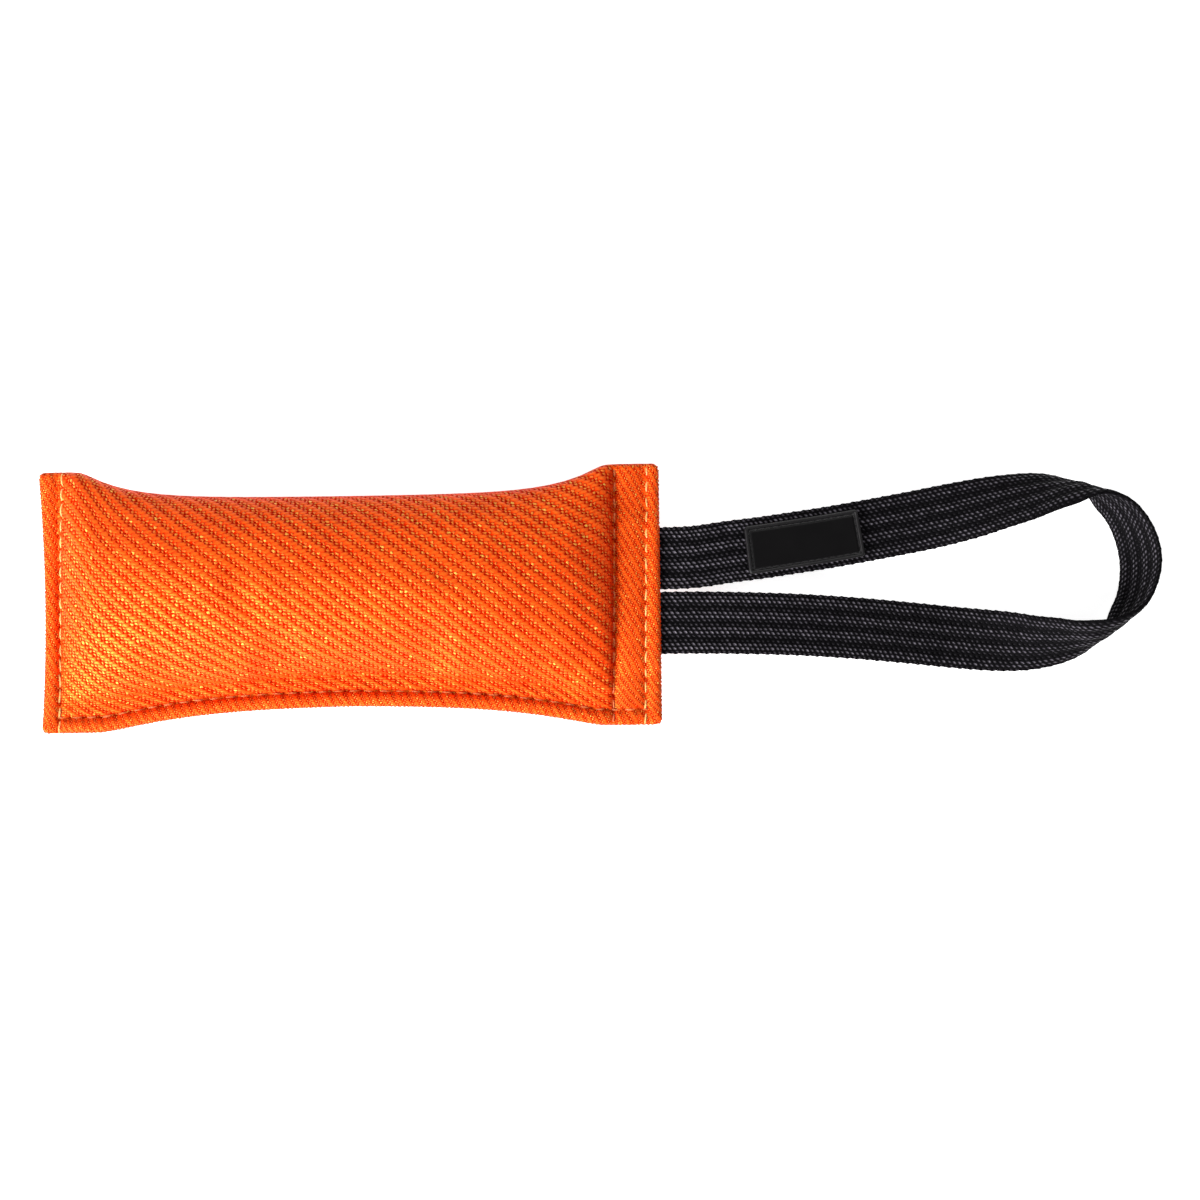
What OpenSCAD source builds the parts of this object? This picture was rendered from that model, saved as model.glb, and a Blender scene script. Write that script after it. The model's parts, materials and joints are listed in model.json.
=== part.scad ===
// Training bumper: a stuffed fabric pillow with a hand loop of flat webbing, lying on a table.
// Millimetres, +Z up. X runs from the pillow to the loop and Y from the hemmed side to the folded side.
// The origin is on the pillow's flat resting patch, under the middle of its outline.

/* [Pillow] */
// Length over both end hems
pillow_l = 199; // [150:1:270]
// Width at the ends, from the fold to the hem's edge
pillow_w = 84; // [66:1:110]
// Thickness in the middle if nothing pressed on it
pillow_t = 39; // [24:0.5:52]
// How much of the thickness the table presses flat on the underside
rest_press = 1.3; // [0.5:0.1:5]
// How far the folded side draws in at mid-length
fold_draw = 9; // [2:0.5:14]
// How far from its corners the folded side has drawn in by two thirds
fold_reach = 14; // [10:1:30]
// How far the hemmed side draws in at mid-length
hem_draw = 7.5; // [2:0.5:14]
// How far from its corners the hemmed side has drawn in by two thirds
hem_reach = 29; // [15:1:40]
// How far the plain end's edge draws in at its middle
end_draw = 1.6; // [0:0.1:2]
// Corner radius of the hems
corner_r = 2.5; // [1:0.5:4]

/* [Cover] */
// Thickness of one ply of the fabric
ply_t = 0.8; // [0.5:0.1:1.1]
// Width of the turned-in allowance along the long hem
long_hem_w = 10; // [7:0.5:14]
// Seam line of the long hem and of the outer row, measured from the edge
seam_in = 4.9; // [3.5:0.1:6]
// Seam line of the plain end, measured from the edge
plain_seam_in = 6.4; // [4:0.1:9]
// Inner seam line of the handle end, measured from the edge
handle_seam_in = 15; // [12:0.5:20]
// How deep the threads pull the hem in, as a share of its thickness
seam_pull = 0.22; // [0:0.02:0.4]

/* [Filling] */
// Clearance between the filling and the cover
filling_gap = 0.25; // [0.1:0.05:0.8]

/* [Webbing] */
// Width of the webbing
web_w = 20; // [15:0.5:25]
// Thickness of the webbing
web_t = 1.8; // [1.2:0.1:2.2]
// Length of the webbing's ends inside the handle end
tail_in = 19; // [16:0.5:24]
// Clearance round the webbing's ends in the hem
tail_gap = 0.05; // [0.02:0.01:0.15]
// Bending line of the webbing, outside the hem's edge
bend_out = 4; // [3.6:0.1:6]
// Gap from the webbing's ends to the bending line
bend_gap = 3; // [2.4:0.1:3.4]
// Gap between the two legs where they leave the hem
leg_gap = 0.7; // [0.5:0.1:8]
// Reach of the loop from the bending line to the middle of the webbing at its far end
loop_reach = 152; // [120:1:190]

/* [Label] */
// Length of the rubber label
label_l = 39; // [28:1:46]
// Width of the rubber label
label_w = 15.5; // [10:0.5:17]
// Thickness of the rubber label
label_t = 1.5; // [1:0.1:2]
// Width of the label's raised rim
label_rim = 1; // [0.6:0.1:1.5]
// Width of the sewing groove inside the rim
label_groove = 0.9; // [0.5:0.1:1.5]
// Radius of the label's corners
label_corner_r = 1.2; // [0.8:0.1:2]

/* [Hidden] */

half_l = pillow_l / 2;
half_w = pillow_w / 2;
// Height of the hems above the table
hem_z = pillow_t / 2 - rest_press;
hem_t = 4 * ply_t;
hem_half = hem_t / 2;
tail_half = web_t / 2 + tail_gap + 2 * ply_t;

// Ends of the stuffed part: the plain end's seam and the handle end's inner seam.
stuffed_x0 = -half_l + plain_seam_in;
stuffed_x1 = half_l - handle_seam_in;
stuffed_mid = (stuffed_x0 + stuffed_x1) / 2;
stuffed_half = (stuffed_x1 - stuffed_x0) / 2;

// The route of the webbing's middle line, for a reach of 152 mm and a hem 17.3 mm above the table:
// distance ahead of the bending line, how far it has moved out from where its leg leaves the hem,
// how far its lowest edge is above the table, how far it has rolled from lying flat, and how far its
// middle bows out between its edges. The inner edge turns up and over, so that the far end stands
// on its outer edge, and the webbing bows most where it stands upright.
loop_route = [
    [0, 0, 17.3, 0, 0], [8, 0.4, 15.9, 0, 0], [18.2, 1.8, 13.6, 0, 0], [28.7, 3, 11.1, 0, 0],
    [38.8, 4.4, 8.6, 0, 0], [48.7, 5.8, 6.1, 0, 0], [58.7, 7.4, 3.8, 0, 0], [69.3, 9.2, 2, 0, 0],
    [82.1, 11.5, 0.5, 4, 0], [95.7, 14.3, 0, 16, 0.1], [108.7, 17.1, 0, 32, 0.4],
    [120.7, 18.9, 0.2, 48, 1.4], [131, 18.5, 0.7, 71, 3.5], [138, 17.1, 1.3, 101, 2.5],
    [143.6, 15, 1.5, 112, 1.3], [147.6, 12.4, 1, 118, 0.9], [150.3, 9.7, 0.3, 122, 0.7],
    [151.4, 7.2, 0, 122, 0.6], [150.5, 4.5, 0.3, 117, 0.9], [147.9, 1.8, 1, 109, 1.6],
    [142.5, -0.8, 1.5, 94, 3.1], [136.1, -3.9, 1.3, 68, 3.3], [128.1, -6.8, 0.8, 47, 1.3],
    [118, -8.1, 0.2, 30, 0.3], [105.9, -7.6, 0, 11, 0], [91.9, -6.3, 0.2, 0, 0],
    [76.2, -4.5, 1.4, 0, 0], [58.7, -2.7, 4.2, 0, 0], [40.4, -1.3, 8.4, 0, 0], [23, -0.5, 13, 0, 0],
    [9, -0.1, 16.2, 0, 0], [0, 0, 17.3, 0, 0]
];
route_reach = 152;
route_lift = 17.3;
// Route points at which the webbing starts to turn back, and at which it has turned
turn_start = 13;
turn_end = 21;
// Where the label's middle sits on the route, counted in route points
label_at = 4.3;
// How deep the label is pressed into the webbing, which gives under it, and the groove's depth
label_press = 0.2;
groove_depth = 0.4;

bend_x = half_l + bend_out;
tail_x0 = half_l - tail_in;
tail_x1 = bend_x - bend_gap;
// The legs leave the hem side by side, a little nearer to the fold than to the long hem
legs_mid = 1.05;
// How far the sides run straight past the plain end's seam and past the handle end's
fold_straight = [8, 3.5];
hem_straight = [13, 4.5];
// How softly the sides bend where they start to draw in, and how steeply the hemmed side then does
bend_soft = 1.2;
hem_steep = 1.2;
// Shape of the stuffed part: how it tapers to the end seams, rises from the hem and falls to the fold
end_taper = 3;
end_round = 0.6;
hem_rise = 0.62;
fold_fall = 0.5;
crest = hem_rise / (hem_rise + fold_fall);
// How far the hem's thickness eases off beside the webbing's ends and into the pillow
tail_slope = 6;
hem_slope = 10;
// Half the width of the dip that a seam leaves in the hem
seam_dip = 1.3;
leg_out = (web_w + leg_gap) / 2;
fold_leg_y = legs_mid + leg_out;
hem_leg_y = legs_mid - leg_out;

// ---- Shape of the stuffed pillow ----

function clamp01(v) = max(0, min(1, v));
function ease(v) = let(c = clamp01(v)) c * c * (3 - 2 * c);
// Place along the stuffed length: -1 and 1 at its seams, 0 in the middle
function along(x) = max(-1, min(1, (x - stuffed_mid) / stuffed_half));
// A side runs straight past a corner and then draws in: the share of it drawn in at x, for a corner
// that runs a millimetres in from the plain end and b from the handle end. The bend is soft.
function past(d) = bend_soft * ln(1 + exp(d / bend_soft));
function drawn_in(x, a, b, reach, steep) =
    1 - exp(-pow(past(min(x + half_l - a, half_l - b - x)) / reach, steep));
function y_fold(x) = half_w - fold_draw
    * drawn_in(x, plain_seam_in + fold_straight[0], handle_seam_in + fold_straight[1], fold_reach, 1);
function y_hem(x) = -half_w + hem_draw
    * drawn_in(x, plain_seam_in + hem_straight[0], handle_seam_in + hem_straight[1], hem_reach, hem_steep);
// A hem's corner is rounded by drawing the square of side corner_r there onto a quarter circle.
// near_end and near_side are 1 on the end's and the side's edge, and 0 a radius inside them.
function corner_shift(near_end, near_side) = corner_r * near_end * (1 - sqrt(1 - near_side * near_side / 2));
// How full the pillow is along its length and across its width, both 0 to 1
function full_along(x) = pow(1 - pow(abs(along(x)), end_taper), end_round);
function rise(b) = pow(b, hem_rise) * pow(1 - b, fold_fall);
function full_across(b) = rise(b) / rise(crest);
// Share of the hem's extra thickness over the webbing's ends, across the width
function near_tails(y) =
    let(mid = (fold_leg_y + hem_leg_y) / 2, reach = (fold_leg_y - hem_leg_y + web_w) / 2)
    ease(1 + (reach + 1 - abs(y - mid)) / tail_slope);
// Half the hem's thickness, which grows over the webbing's ends
function hem_half_at(x, y) =
    hem_half + (tail_half - hem_half) * near_tails(y) * ease(1 + (x - stuffed_x1) / hem_slope);

// Rows of the cover's grid over a hem's rounded edge: distance from the edge, and share of the
// hem's thickness
edge_rows = [[0, 0], [0.3, 0.58], [0.9, 0.9], [1.8, 1]];
function seam_rows(d) = [[d - seam_dip, 1], [d, 1 - seam_pull], [d + seam_dip, 1]];

across_n = 14;
along_n = 20;
// Rows across the width: [distance from the hem's edge or undef, share across, share of thickness]
cover_rows = concat(
    [for (r = edge_rows) [r[0], undef, r[1]]],
    [for (r = seam_rows(seam_in)) [r[0], undef, r[1]]],
    [for (k = [0:across_n]) [undef, (1 - cos(180 * k / across_n)) / 2, k == across_n ? 0 : 1]]
);
// Columns along the length: [distance from the plain end, distance from the handle end, x, share]
cover_cols = concat(
    [for (r = edge_rows) [r[0], undef, undef, r[1]]],
    [[plain_seam_in - seam_dip, undef, undef, 1]],
    [for (k = [0:along_n]) [undef, undef, stuffed_mid - stuffed_half * cos(180 * k / along_n),
        k == 0 || k == along_n ? 1 - seam_pull : 1]],
    [[undef, handle_seam_in - seam_dip, undef, 1]],
    [for (k = [2:-1:0]) let(r = seam_rows(seam_in)[k]) [undef, r[0], undef, r[1]]],
    [for (k = [3:-1:0]) let(r = edge_rows[k]) [undef, r[0], undef, r[1]]]
);

function row_y(x, row) =
    let(edge = y_hem(x), inner = edge + long_hem_w)
    row[1] == undef ? edge + row[0] : inner + row[1] * (y_fold(x) - inner);
// The fold is round: how much of the hem's thickness is left close to it
function fold_round(x, y) =
    let(c = clamp01(1 - (y_fold(x) - y) / hem_half)) sqrt(1 - c * c);
function col_x(col) =
    col[2] != undef ? col[2] : col[0] != undef ? -half_l + col[0] : half_l - col[1];

// A point of the cover's upper (side 1) or lower (side -1) skin. The underside is pressed flat on
// the table, by no point going below it.
function cover_point(col, row, side) =
    let(x = col_x(col), y = row_y(x, row))
    let(share = col[3] * row[2] * (row[1] == undef ? 1 : fold_round(x, y)))
    let(hem = hem_half_at(x, y) * share)
    let(bulge = row[1] == undef ? 0
        : (pillow_t / 2 - hem_half) * full_along(x) * full_across(row[1]))
    let(near_end = clamp01(1 - (half_l - abs(x)) / corner_r))
    let(near_side = clamp01(1 - min(y - y_hem(x), y_fold(x) - y) / corner_r))
    // the plain end's edge draws in, and its seam stays straight
    let(edge = end_draw * clamp01((stuffed_x0 - x) / plain_seam_in) * (1 - pow(y / half_w, 2)))
    [
        x - sign(x) * corner_shift(near_end, near_side) + edge,
        y - sign(y) * corner_shift(near_side, near_end),
        max(0, hem_z + side * (hem + bulge))
    ];

// How full a lens-shaped body between x0 and x1 is at x
function full_between(x, x0, x1) =
    pow(max(0, 1 - pow(abs((2 * x - x0 - x1) / (x1 - x0)), end_taper)), end_round);
// One point of a lens-shaped body inside the cover, drawn in by inset from the outer skin, and
// ending end_cut short of the handle end's inner seam
function inner_point(u, b, inset, end_cut, side) =
    let(x0 = stuffed_x0 + inset, x2 = stuffed_x1 - inset, x1 = x2 - end_cut)
    let(x = (x0 + x1) / 2 - (x1 - x0) / 2 * cos(180 * u / along_n))
    let(y0 = y_hem(x) + long_hem_w + inset, y1 = y_fold(x) - inset)
    let(share = (1 - cos(180 * b / across_n)) / 2)
    let(full = min(full_between(x, x0, x1), full_between(x, x0, x2)) * full_across(share))
    [x, y0 + share * (y1 - y0), max(inset, hem_z + side * (pillow_t / 2 - inset) * full)];

// A closed skin from two grids of points that share their outer ring. top and bottom are lists of
// columns. The ring is taken from top.
module skin(top, bottom) {
    columns = len(top);
    rows = len(top[0]);
    count = columns * rows;
    function on_ring(i, j) = i == 0 || j == 0 || i == columns - 1 || j == rows - 1;
    function upper(i, j) = i * rows + j;
    function lower(i, j) = on_ring(i, j) ? upper(i, j) : count + (i - 1) * (rows - 2) + j - 1;
    polyhedron(
        points = concat(
            [for (c = top) each c],
            [for (i = [1:columns - 2], j = [1:rows - 2]) bottom[i][j]]
        ),
        faces = [
            for (i = [0:columns - 2], j = [0:rows - 2])
            for (half = [0, 1], side = [0, 1])
            let(a = [i, j], b = [i + 1, j], c = [i + 1, j + 1], d = [i, j + 1])
            // the cells' diagonals run out to the corners, so that no triangle lies in the ring
            let(turned = (i < columns / 2) != (j < rows / 2))
            let(t = turned ? (half == 0 ? [a, b, d] : [b, c, d]) : (half == 0 ? [a, b, c] : [a, c, d]))
            side == 0 ? [for (k = [2, 1, 0]) upper(t[k][0], t[k][1])]
                      : [for (k = [0, 1, 2]) lower(t[k][0], t[k][1])]
        ]
    );
}

module outer_skin() {
    skin(
        [for (c = cover_cols) [for (r = cover_rows) cover_point(c, r, 1)]],
        [for (c = cover_cols) [for (r = cover_rows) cover_point(c, r, -1)]]
    );
}

module inner_skin(inset, end_cut) {
    skin(
        [for (u = [0:along_n]) [for (b = [0:across_n]) inner_point(u, b, inset, end_cut, 1)]],
        [for (u = [0:along_n]) [for (b = [0:across_n]) inner_point(u, b, inset, end_cut, -1)]]
    );
}

module tail_block(y, gap, x0, x1) {
    translate([x0, y - web_w / 2 - gap, hem_z - web_t / 2 - gap])
        cube([x1 - x0, web_w + 2 * gap, web_t + 2 * gap]);
}

// ---- Shape of the webbing ----

last = len(loop_route) - 1;
// Which side of the middle a route point is on: 1 on the fold's side, -1 on the hem's side
function side_of(i) = cos(180 * clamp01((i - turn_start) / (turn_end - turn_start)));
// The middle line itself: x, y, z, roll and bow
route = [
    for (i = [0:last])
    let(p = loop_route[i], low = p[2] * (hem_z - web_t / 2) / route_lift)
    [
        bend_x + p[0] * loop_reach / route_reach,
        legs_mid + side_of(i) * leg_out + p[1],
        low + web_w / 2 * abs(sin(p[3])) + web_t / 2 * abs(cos(p[3])),
        p[3],
        p[4]
    ]
];
function route_end(i) = i < 0 ? 2 * route[0] - route[1]
    : i > last ? 2 * route[last] - route[last - 1] : route[i];
// A point of the smooth line through the route's points, at place s counted in points
function on_route(s) =
    let(i = min(last - 1, floor(s)), t = s - i)
    let(a = route_end(i - 1), b = route[i], c = route[i + 1], d = route_end(i + 2))
    (2 * b + (c - a) * t + (2 * a - 5 * b + 4 * c - d) * t * t + (3 * b - a - 3 * c + d) * t * t * t) / 2;
function xyz(p) = [p[0], p[1], p[2]];
function unit(v) = v / norm(v);
function ahead(s) = unit(xyz(on_route(min(last, s + 0.02))) - xyz(on_route(max(0, s - 0.02))));
// Direction across the webbing, towards its inner edge, and out of its upper face
function across_web(s) =
    let(t = ahead(s), level = unit(cross(t, [0, 0, 1])), up = cross(level, t), roll = on_route(s)[3])
    cos(roll) * level + sin(roll) * up;
function out_of_web(s) = cross(across_web(s), ahead(s));

// The webbing's cross-section, with softened selvedges: [share of width, share of thickness]
web_face = [-0.96, -0.6, -0.2, 0.2, 0.6, 0.96];
web_outline = concat(
    [[-1, -0.45]], [for (o = web_face) [o, -1]], [[1, -0.45], [1, 0.45]],
    [for (k = [len(web_face) - 1:-1:0]) [web_face[k], 1]], [[-1, 0.45]]
);
// A round nose closes each end at the bending line: [degrees round the nose]
nose = [75, 45, 20];
steps = 2;
// A ring of the webbing. Its width is kept when it bows, by drawing its edges together.
function web_ring(s, shift, share) =
    let(p = xyz(on_route(s)) + shift * ahead(s), w = across_web(s), n = out_of_web(s))
    let(bow = on_route(s)[4], half = web_w / 2 * (1 - 8 / 3 * pow(bow / web_w, 2)))
    [for (o = web_outline) p + w * o[0] * half + n * (o[1] * share * web_t / 2 + bow * (1 - o[0] * o[0]))];
web_rings = concat(
    [for (a = nose) web_ring(0, -web_t / 2 * sin(a), cos(a))],
    [for (k = [0:last * steps]) web_ring(k / steps, 0, 1)],
    [for (k = [2:-1:0]) web_ring(last, web_t / 2 * sin(nose[k]), cos(nose[k]))]
);

module tube(rings) {
    sides = len(rings[0]);
    ends = len(rings) - 1;
    polyhedron(
        points = [for (r = rings) each r],
        faces = concat(
            [[for (k = [sides - 1:-1:0]) k]],
            [
                for (i = [0:ends - 1], k = [0:sides - 1], half = [0, 1])
                let(a = i * sides + k, b = i * sides + (k + 1) % sides)
                half == 0 ? [a, b, b + sides] : [a, b + sides, a + sides]
            ],
            [[for (k = [0:sides - 1]) ends * sides + k]]
        )
    );
}

module label_outline(inset) {
    x = label_l / 2 - label_corner_r;
    y = label_w / 2 - label_corner_r;
    offset(delta = -inset)
    hull() {
        for (a = [-1, 1], b = [-1, 1])
            translate([a * x, b * y]) circle(label_corner_r, $fn = 24);
    }
}

// ---- Pieces ----

module cover() {
    color("darkorange")
    difference() {
        outer_skin();
        inner_skin(ply_t, 0);
        tail_block(fold_leg_y, tail_gap, tail_x0 - tail_gap, half_l + 1);
        tail_block(hem_leg_y, tail_gap, tail_x0 - tail_gap, half_l + 1);
    }
}

module filling() {
    color("whitesmoke")
    inner_skin(ply_t + filling_gap, tail_in - handle_seam_in + filling_gap);
}

module fold_side_tail() {
    color("dimgray") tail_block(fold_leg_y, 0, tail_x0, tail_x1);
}

module hem_side_tail() {
    color("dimgray") tail_block(hem_leg_y, 0, tail_x0, tail_x1);
}

module handle_loop() {
    color("dimgray") tube(web_rings);
}

module label_patch() {
    t = ahead(label_at);
    w = across_web(label_at);
    n = out_of_web(label_at);
    p = xyz(on_route(label_at)) + n * (web_t / 2 - label_press);
    color("black")
    multmatrix([
        [t[0], -w[0], n[0], p[0]],
        [t[1], -w[1], n[1], p[1]],
        [t[2], -w[2], n[2], p[2]]
    ])
    difference() {
        linear_extrude(label_t) label_outline(0);
        translate([0, 0, label_t - groove_depth])
            linear_extrude(label_t)
                difference() {
                    label_outline(label_rim);
                    label_outline(label_rim + label_groove);
                }
    }
}

cover();
filling();
fold_side_tail();
hem_side_tail();
handle_loop();
label_patch();
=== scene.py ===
import json
import math

import bpy
import numpy as np
from bpy.props import FloatProperty, FloatVectorProperty, IntProperty, PointerProperty
from mathutils import Matrix, Vector
from mathutils.bvhtree import BVHTree


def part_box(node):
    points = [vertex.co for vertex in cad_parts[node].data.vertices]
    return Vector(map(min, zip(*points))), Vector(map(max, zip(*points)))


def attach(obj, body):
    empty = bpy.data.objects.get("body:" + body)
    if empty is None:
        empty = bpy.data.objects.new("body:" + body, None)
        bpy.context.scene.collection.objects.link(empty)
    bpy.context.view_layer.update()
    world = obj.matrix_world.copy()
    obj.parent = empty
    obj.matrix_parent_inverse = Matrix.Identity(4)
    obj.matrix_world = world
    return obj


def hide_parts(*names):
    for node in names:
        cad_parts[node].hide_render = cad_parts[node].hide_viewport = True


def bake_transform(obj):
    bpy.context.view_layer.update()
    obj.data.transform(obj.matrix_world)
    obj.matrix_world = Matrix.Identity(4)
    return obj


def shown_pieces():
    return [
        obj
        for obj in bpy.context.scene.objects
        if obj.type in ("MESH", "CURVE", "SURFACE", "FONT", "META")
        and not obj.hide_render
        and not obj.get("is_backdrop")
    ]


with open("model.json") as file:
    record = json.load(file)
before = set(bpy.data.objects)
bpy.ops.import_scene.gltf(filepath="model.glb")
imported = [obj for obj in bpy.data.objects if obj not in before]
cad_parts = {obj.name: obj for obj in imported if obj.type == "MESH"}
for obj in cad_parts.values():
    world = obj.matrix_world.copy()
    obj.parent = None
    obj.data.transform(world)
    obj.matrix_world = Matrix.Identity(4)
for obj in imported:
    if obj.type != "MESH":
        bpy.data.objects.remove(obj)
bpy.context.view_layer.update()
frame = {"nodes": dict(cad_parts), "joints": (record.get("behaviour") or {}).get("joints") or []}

bl_info = {
    "name": "Training bumper",
    "version": (1, 0, 0),
    "blender": (4, 5, 0),
    "location": "3D View > Sidebar > Bumper",
    "description": "Dresses the packed training bumper: twill cover, webbing loop, label and seams",
    "category": "Object",
}

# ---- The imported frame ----

MM = 0.001
COVER_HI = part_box("cover")[1]
TAIL_LO, TAIL_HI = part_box("fold_side_tail")
HEM_TAIL_LO, HEM_TAIL_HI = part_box("hem_side_tail")
# Height of the hems and of the webbing's ends between them
HEM_Z = (TAIL_LO.z + TAIL_HI.z) / 2
HALF_L, HALF_W = COVER_HI.x, COVER_HI.y
FOLD_LEG_Y = (TAIL_LO.y + TAIL_HI.y) / 2
HEM_LEG_Y = (HEM_TAIL_LO.y + HEM_TAIL_HI.y) / 2
# Where the webbing bends, just outside the hem
BEND_X = frame["joints"][0]["pos_m"][0]

# The webbing's route as in the part's source, in millimetres: distance ahead of the bending line,
# move away from where the leg leaves the hem, lowest edge above the table, roll in degrees, and how
# far the middle bows out between the edges.
LOOP_ROUTE = (
    (0, 0, 17.3, 0, 0), (8, 0.4, 15.9, 0, 0), (18.2, 1.8, 13.6, 0, 0), (28.7, 3, 11.1, 0, 0),
    (38.8, 4.4, 8.6, 0, 0), (48.7, 5.8, 6.1, 0, 0), (58.7, 7.4, 3.8, 0, 0), (69.3, 9.2, 2, 0, 0),
    (82.1, 11.5, 0.5, 4, 0), (95.7, 14.3, 0, 16, 0.1), (108.7, 17.1, 0, 32, 0.4),
    (120.7, 18.9, 0.2, 48, 1.4), (131, 18.5, 0.7, 71, 3.5), (138, 17.1, 1.3, 101, 2.5),
    (143.6, 15, 1.5, 112, 1.3), (147.6, 12.4, 1, 118, 0.9), (150.3, 9.7, 0.3, 122, 0.7),
    (151.4, 7.2, 0, 122, 0.6), (150.5, 4.5, 0.3, 117, 0.9), (147.9, 1.8, 1, 109, 1.6),
    (142.5, -0.8, 1.5, 94, 3.1), (136.1, -3.9, 1.3, 68, 3.3), (128.1, -6.8, 0.8, 47, 1.3),
    (118, -8.1, 0.2, 30, 0.3), (105.9, -7.6, 0, 11, 0), (91.9, -6.3, 0.2, 0, 0),
    (76.2, -4.5, 1.4, 0, 0), (58.7, -2.7, 4.2, 0, 0), (40.4, -1.3, 8.4, 0, 0), (23, -0.5, 13, 0, 0),
    (9, -0.1, 16.2, 0, 0), (0, 0, 17.3, 0, 0),
)
# The route points between which the loop turns back
TURN_START, TURN_END = 13, 21

# ---- Image points, in pixels of the photograph's 1200 x 1200 frame ----

IMAGE = 1200
POINTS = {
    "left_edge_x": (38.0, None),
    "right_edge_x": (1163.0, None),
    "top_edge_y": (None, 461.0),
    "bottom_edge_y": (None, 737.0),
    "plain_seam_fold_side": (60.6, 524.7),
    "plain_seam_hem_side": (59.8, 680.9),
    "long_seam_plain_side": (148.3, 708.0),
    "long_seam_middle": (399.6, 691.2),
    "inner_row_fold_side": (614.3, 500.8),
    "inner_row_hem_side": (613.7, 688.3),
    "outer_row_fold_side": (646.5, 500.3),
    "outer_row_hem_side": (645.8, 687.9),
    "label_middle": (803.3, 542.3),
    "label_plain_end": (744.5, 552.0),
    "label_far_end": (862.0, 532.5),
}
# The two points that each row of stitches runs through
SEAM_POINTS = {
    "plain": ("plain_seam_fold_side", "plain_seam_hem_side"),
    "inner": ("inner_row_fold_side", "inner_row_hem_side"),
    "outer": ("outer_row_fold_side", "outer_row_hem_side"),
    "long": ("long_seam_plain_side", "long_seam_middle"),
}


# ---- Small helpers ----

def srgb(code):
    """A #RRGGBB colour as linear RGBA."""
    parts = [int(code[i:i + 2], 16) / 255 for i in (1, 3, 5)]
    return tuple(c / 12.92 if c <= 0.04045 else ((c + 0.055) / 1.055) ** 2.4 for c in parts) + (1,)


def give(tree, node, values):
    """Gives a node's inputs, by name or number, a value, a socket, or a node's first output."""
    for key, value in values.items():
        if isinstance(value, bpy.types.Node):
            value = value.outputs[0]
        if isinstance(value, bpy.types.NodeSocket):
            tree.links.new(value, node.inputs[key])
        else:
            node.inputs[key].default_value = value


def add(tree, kind, values=None, **settings):
    """Adds a node with its settings, and gives its inputs their values and links."""
    made = tree.nodes.new(kind)
    for key, value in settings.items():
        setattr(made, key, value)
    give(tree, made, values or {})
    return made


def clamp(v, lo=0.0, hi=1.0):
    return np.minimum(hi, np.maximum(lo, v))


def ease(v):
    c = clamp(v)
    return c * c * (3 - 2 * c)


def unit(v):
    return v / np.linalg.norm(v, axis=-1, keepdims=True)


def smooth(line):
    """Moves each point of a line towards its neighbours, and keeps the ends."""
    line[1:-1] = (line[:-2] + 2 * line[1:-1] + line[2:]) / 4


def lengths_along(line):
    """How far along a line, or along each line of a grid's first axis, its points lie."""
    step = np.linalg.norm(np.diff(line, axis=0), axis=-1)
    return np.concatenate([np.zeros_like(step[:1]), np.cumsum(step, 0)])


def new_object(name, mesh):
    made = bpy.data.objects.new(name, mesh)
    bpy.context.scene.collection.objects.link(made)
    return made


def show(name, verts, faces, uvs=None):
    """A mesh object at the origin. uvs gives one (u, v) for each face corner, in millimetres."""
    mesh = bpy.data.meshes.new(name)
    mesh.from_pydata([tuple(v) for v in verts], [], [tuple(f) for f in faces])
    if uvs is not None:
        layer = mesh.uv_layers.new(name="cloth_mm")
        layer.data.foreach_set("uv", np.asarray(uvs, np.float32).ravel())
    mesh.validate()
    mesh.shade_smooth()
    mesh.update()
    made = new_object(name, mesh)
    return made


def vectors(items, field):
    """One vector for each of a mesh's items, as an array."""
    out = np.zeros(len(items) * 3, np.float32)
    items.foreach_get(field, out)
    return out.reshape(-1, 3).astype(float)


def positions(mesh):
    return vectors(mesh.vertices, "co")


def mark(piece, name, values):
    """Gives each vertex a number that the material reads."""
    layer = piece.data.attributes.new(name, "FLOAT", "POINT")
    layer.data.foreach_set("value", values.astype(np.float32).ravel())


def evaluated(piece):
    return piece.evaluated_get(bpy.context.evaluated_depsgraph_get())


def bumper():
    """The scene's settings for the bumper."""
    return bpy.context.scene.bumper


# ---- Settings ----

def length_setting(name, description, default):
    return FloatProperty(name=name, description=description, default=default, unit="LENGTH")


def colour_setting(name, description, code):
    return FloatVectorProperty(name=name, description=description, default=srgb(code),
                               subtype="COLOR", size=4, min=0, max=1)


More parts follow.
